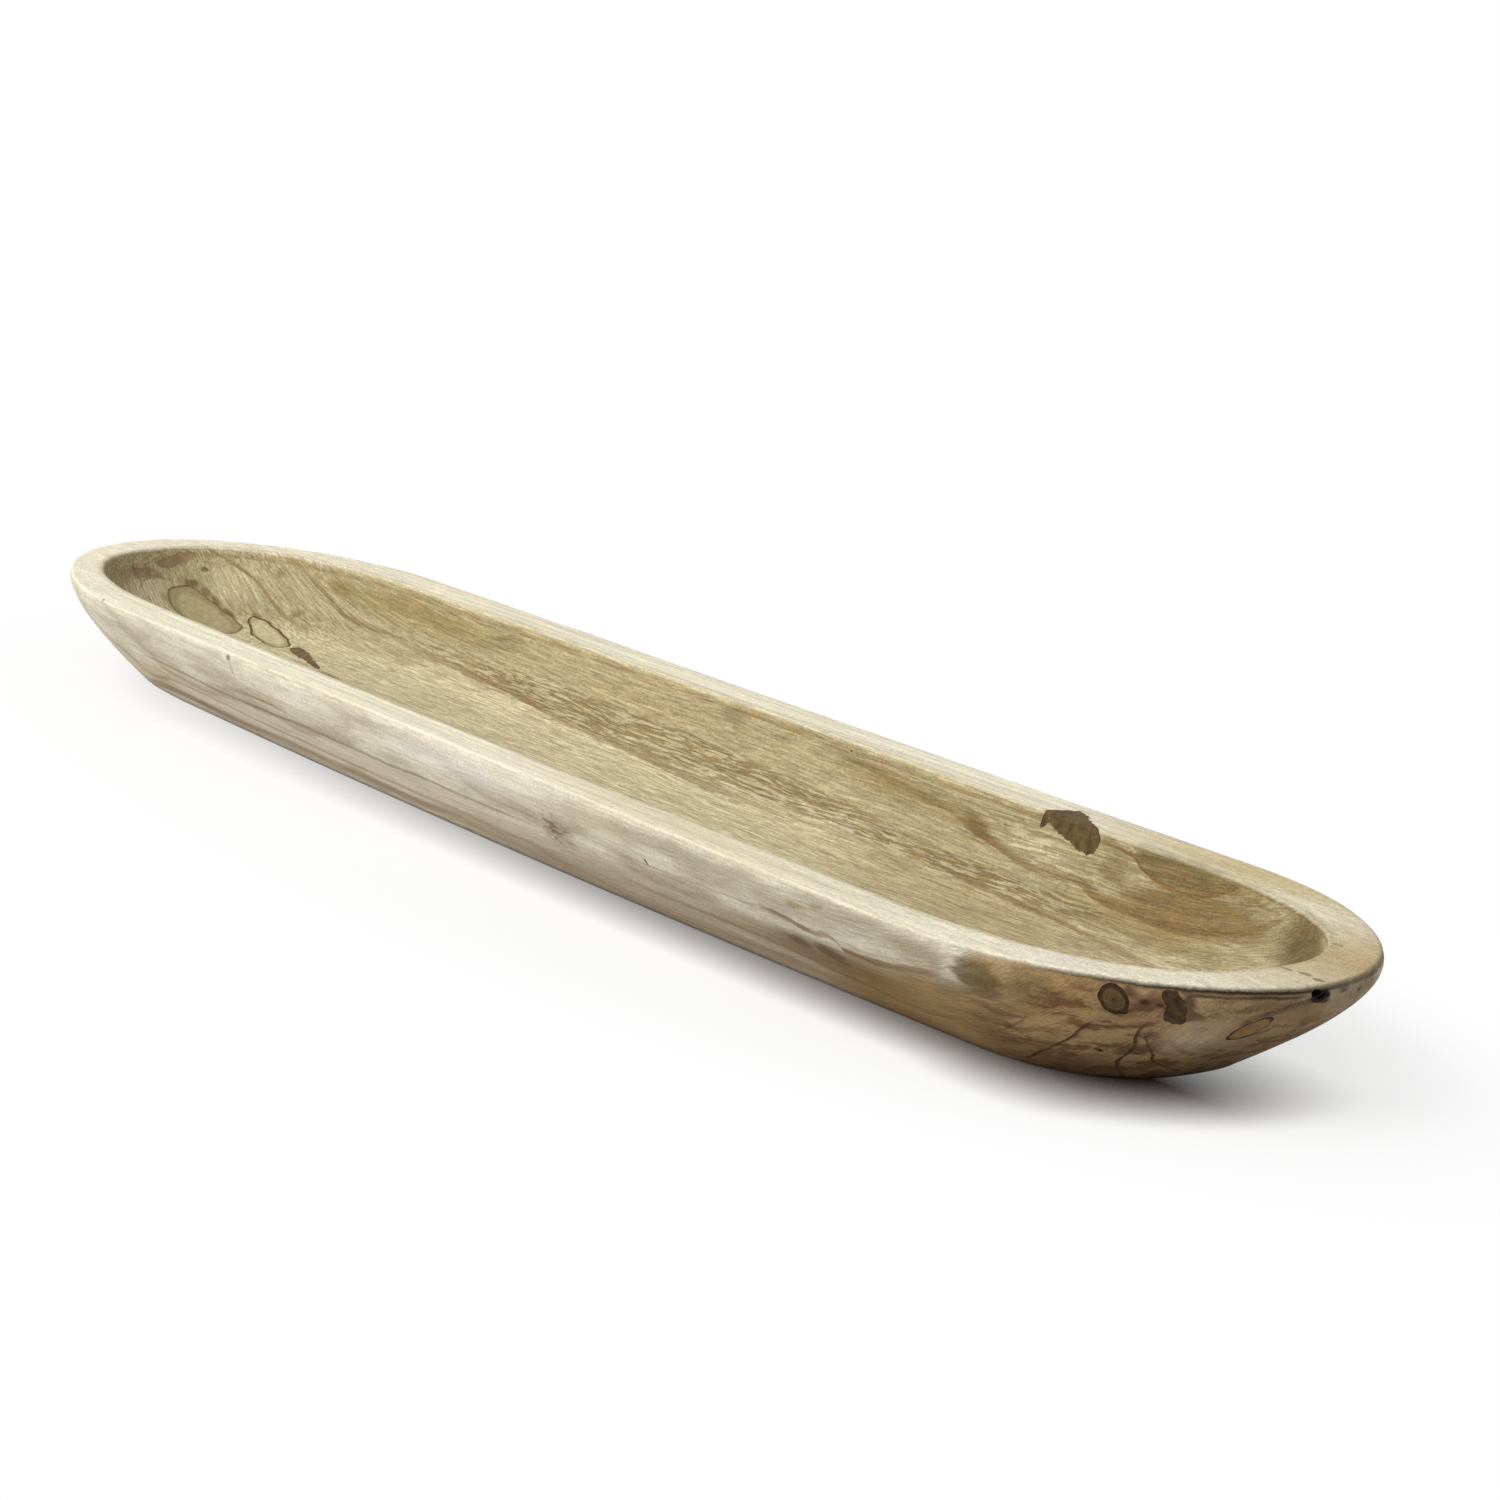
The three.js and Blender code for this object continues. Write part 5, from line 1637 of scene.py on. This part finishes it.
def pale_floor(stage):
    """Seamless studio paper: matt white, with the bowl's soft shadow near it and plain white beyond."""
    material, tree, place = bare_material("studio_paper")
    paper = add(tree, "ShaderNodeBsdfDiffuse", {"Color": stage.floor})
    dull = add(tree, "ShaderNodeBsdfDiffuse", {"Color": linear(BOUNCE_GREY)})
    white = add(tree, "ShaderNodeEmission", {"Strength": 1.0})
    away = add(tree, "ShaderNodeVectorMath", {0: place, 1: SHADOW_SHAPE}, operation="MULTIPLY")
    away = add(tree, "ShaderNodeVectorMath", {0: away}, operation="LENGTH")
    plain = {"Value": away, "From Min": SHADOW_FROM, "From Max": SHADOW_TO, "To Min": SHADOW_LIFT}
    plain = add(tree, "ShaderNodeMapRange", plain, **SMOOTH)
    near = add(tree, "ShaderNodeMixShader", {0: plain, 1: paper, 2: white})

    # Close under the wood little light reaches the paper, least of all in front of the right end
    parts = add(tree, "ShaderNodeSeparateXYZ", {"Vector": place}).node.outputs
    changes = []
    for axis, start, end, first, last in (CONTACT_REACH, CONTACT_LIT_LEFT, CONTACT_LIT_BEHIND):
        span = {"From Min": start, "From Max": end, "To Min": first, "To Max": last}
        changes.append(add(tree, "ShaderNodeMapRange", {"Value": parts[axis], **span}))
    reach_here, lit_left, lit_behind = changes
    lit = add(tree, "ShaderNodeMath", {0: lit_left, 1: lit_behind}, operation="MAXIMUM")
    dark = add(tree, "ShaderNodeBsdfDiffuse", {"Color": linear(CONTACT_BROWN)})
    clear = add(tree, "ShaderNodeAmbientOcclusion", {"Distance": reach_here}, samples=8).node.outputs["AO"]
    deepest, none = CONTACT_SKY
    clear = add(
        tree, "ShaderNodeMapRange", {"Value": clear, "From Min": deepest, "From Max": none, "To Min": lit}
    )
    near = add(tree, "ShaderNodeMixShader", {0: clear, 1: dark, 2: near})
    shown = add(tree, "ShaderNodeMixShader", {0: seen_directly(tree), 1: dull, 2: near})
    add(tree, "ShaderNodeOutputMaterial", {"Surface": shown})
    return material


def even_light(scene, stage):
    """Gives the world an even white light, and plain white where it is seen."""
    world = bpy.data.worlds.new("studio")
    world.use_nodes = True
    tree = world.node_tree
    tree.nodes.clear()
    light = add(tree, "ShaderNodeBackground", {"Color": WHITE, "Strength": stage.sky})
    white = add(tree, "ShaderNodeBackground", {"Color": WHITE, "Strength": 1.0})
    shown = add(tree, "ShaderNodeMixShader", {0: seen_directly(tree), 1: light, 2: white})
    add(tree, "ShaderNodeOutputWorld", {"Surface": shown})
    scene.world = world


def view_axes():
    """The ways back to the camera, to its right and up, level with the floor."""
    azimuth = radians(VIEW_AZIMUTH)
    towards = Vector((sin(azimuth), -cos(azimuth), 0))
    return towards, Vector((cos(azimuth), sin(azimuth), 0)), Vector((0, 0, 1))


def aimed(thing, spot, target):
    """Puts a lamp or camera at a spot and turns it to a target."""
    thing.location = spot
    thing.rotation_euler = (Vector(target) - Vector(spot)).to_track_quat("-Z", "Y").to_euler()


def soft_box(scene, stage):
    """Hangs the big soft box on the photograph's left, a little to the front."""
    lamp = bpy.data.lights.new("soft_box", "AREA")
    lamp.shape = "SQUARE"
    lamp.size = stage.key_size
    lamp.energy = stage.key
    box = bpy.data.objects.new("soft_box", lamp)
    scene.collection.objects.link(box)
    towards, right, up = view_axes()
    sideways, height, forwards = SOFT_BOX_PLACE
    aimed(box, right * sideways + up * height + towards * forwards, (0, 0, 0))


def place_camera(scene):
    """Puts the camera where the photograph was taken from."""
    data = bpy.data.cameras.new("camera")
    data.lens = LENS
    data.sensor_width = SENSOR
    camera = bpy.data.objects.new("camera", data)
    scene.collection.objects.link(camera)
    towards, _, up = view_axes()
    elevation = radians(VIEW_ELEVATION)
    target = Vector(VIEW_TARGET)
    aimed(camera, target + (towards * cos(elevation) + up * sin(elevation)) * VIEW_DISTANCE, target)
    scene.camera = camera


class BOWL_PT_panel(bpy.types.Panel):
    """Sizes, colours and steps of the bowl"""
    bl_idname = "BOWL_PT_panel"
    bl_label = "Carved bowl"
    bl_space_type = "VIEW_3D"
    bl_region_type = "UI"
    bl_category = "Bowl"

    def draw(self, context):
        for group in (context.scene.bowl_sizes, context.scene.bowl_colours, context.scene.bowl_stage):
            box = self.layout.box()
            for name in group.__annotations__:
                box.prop(group, name)
        for operator in OPERATORS:
            self.layout.operator(operator.bl_idname)


OPERATORS = (BOWL_OT_carve, BOWL_OT_set_knots, BOWL_OT_fill_voids, BOWL_OT_set_stage)
GROUPS = {"bowl_sizes": BowlSizes, "bowl_colours": BowlColours, "bowl_stage": StageSettings}


def register():
    """Makes the properties, operators and panel known to Blender."""
    for name, group in GROUPS.items():
        bpy.utils.register_class(group)
        setattr(bpy.types.Scene, name, PointerProperty(type=group))
    for item in (*OPERATORS, BOWL_PT_panel):
        bpy.utils.register_class(item)


def unregister():
    """Takes them away again."""
    for item in (BOWL_PT_panel, *reversed(OPERATORS)):
        bpy.utils.unregister_class(item)
    for name, group in reversed(GROUPS.items()):
        delattr(bpy.types.Scene, name)
        bpy.utils.unregister_class(group)


def main():
    register()
    bpy.ops.bowl.carve()
    bpy.ops.bowl.set_knots()
    bpy.ops.bowl.fill_voids()
    bpy.ops.bowl.set_stage()


if __name__ == "__main__":
    main()
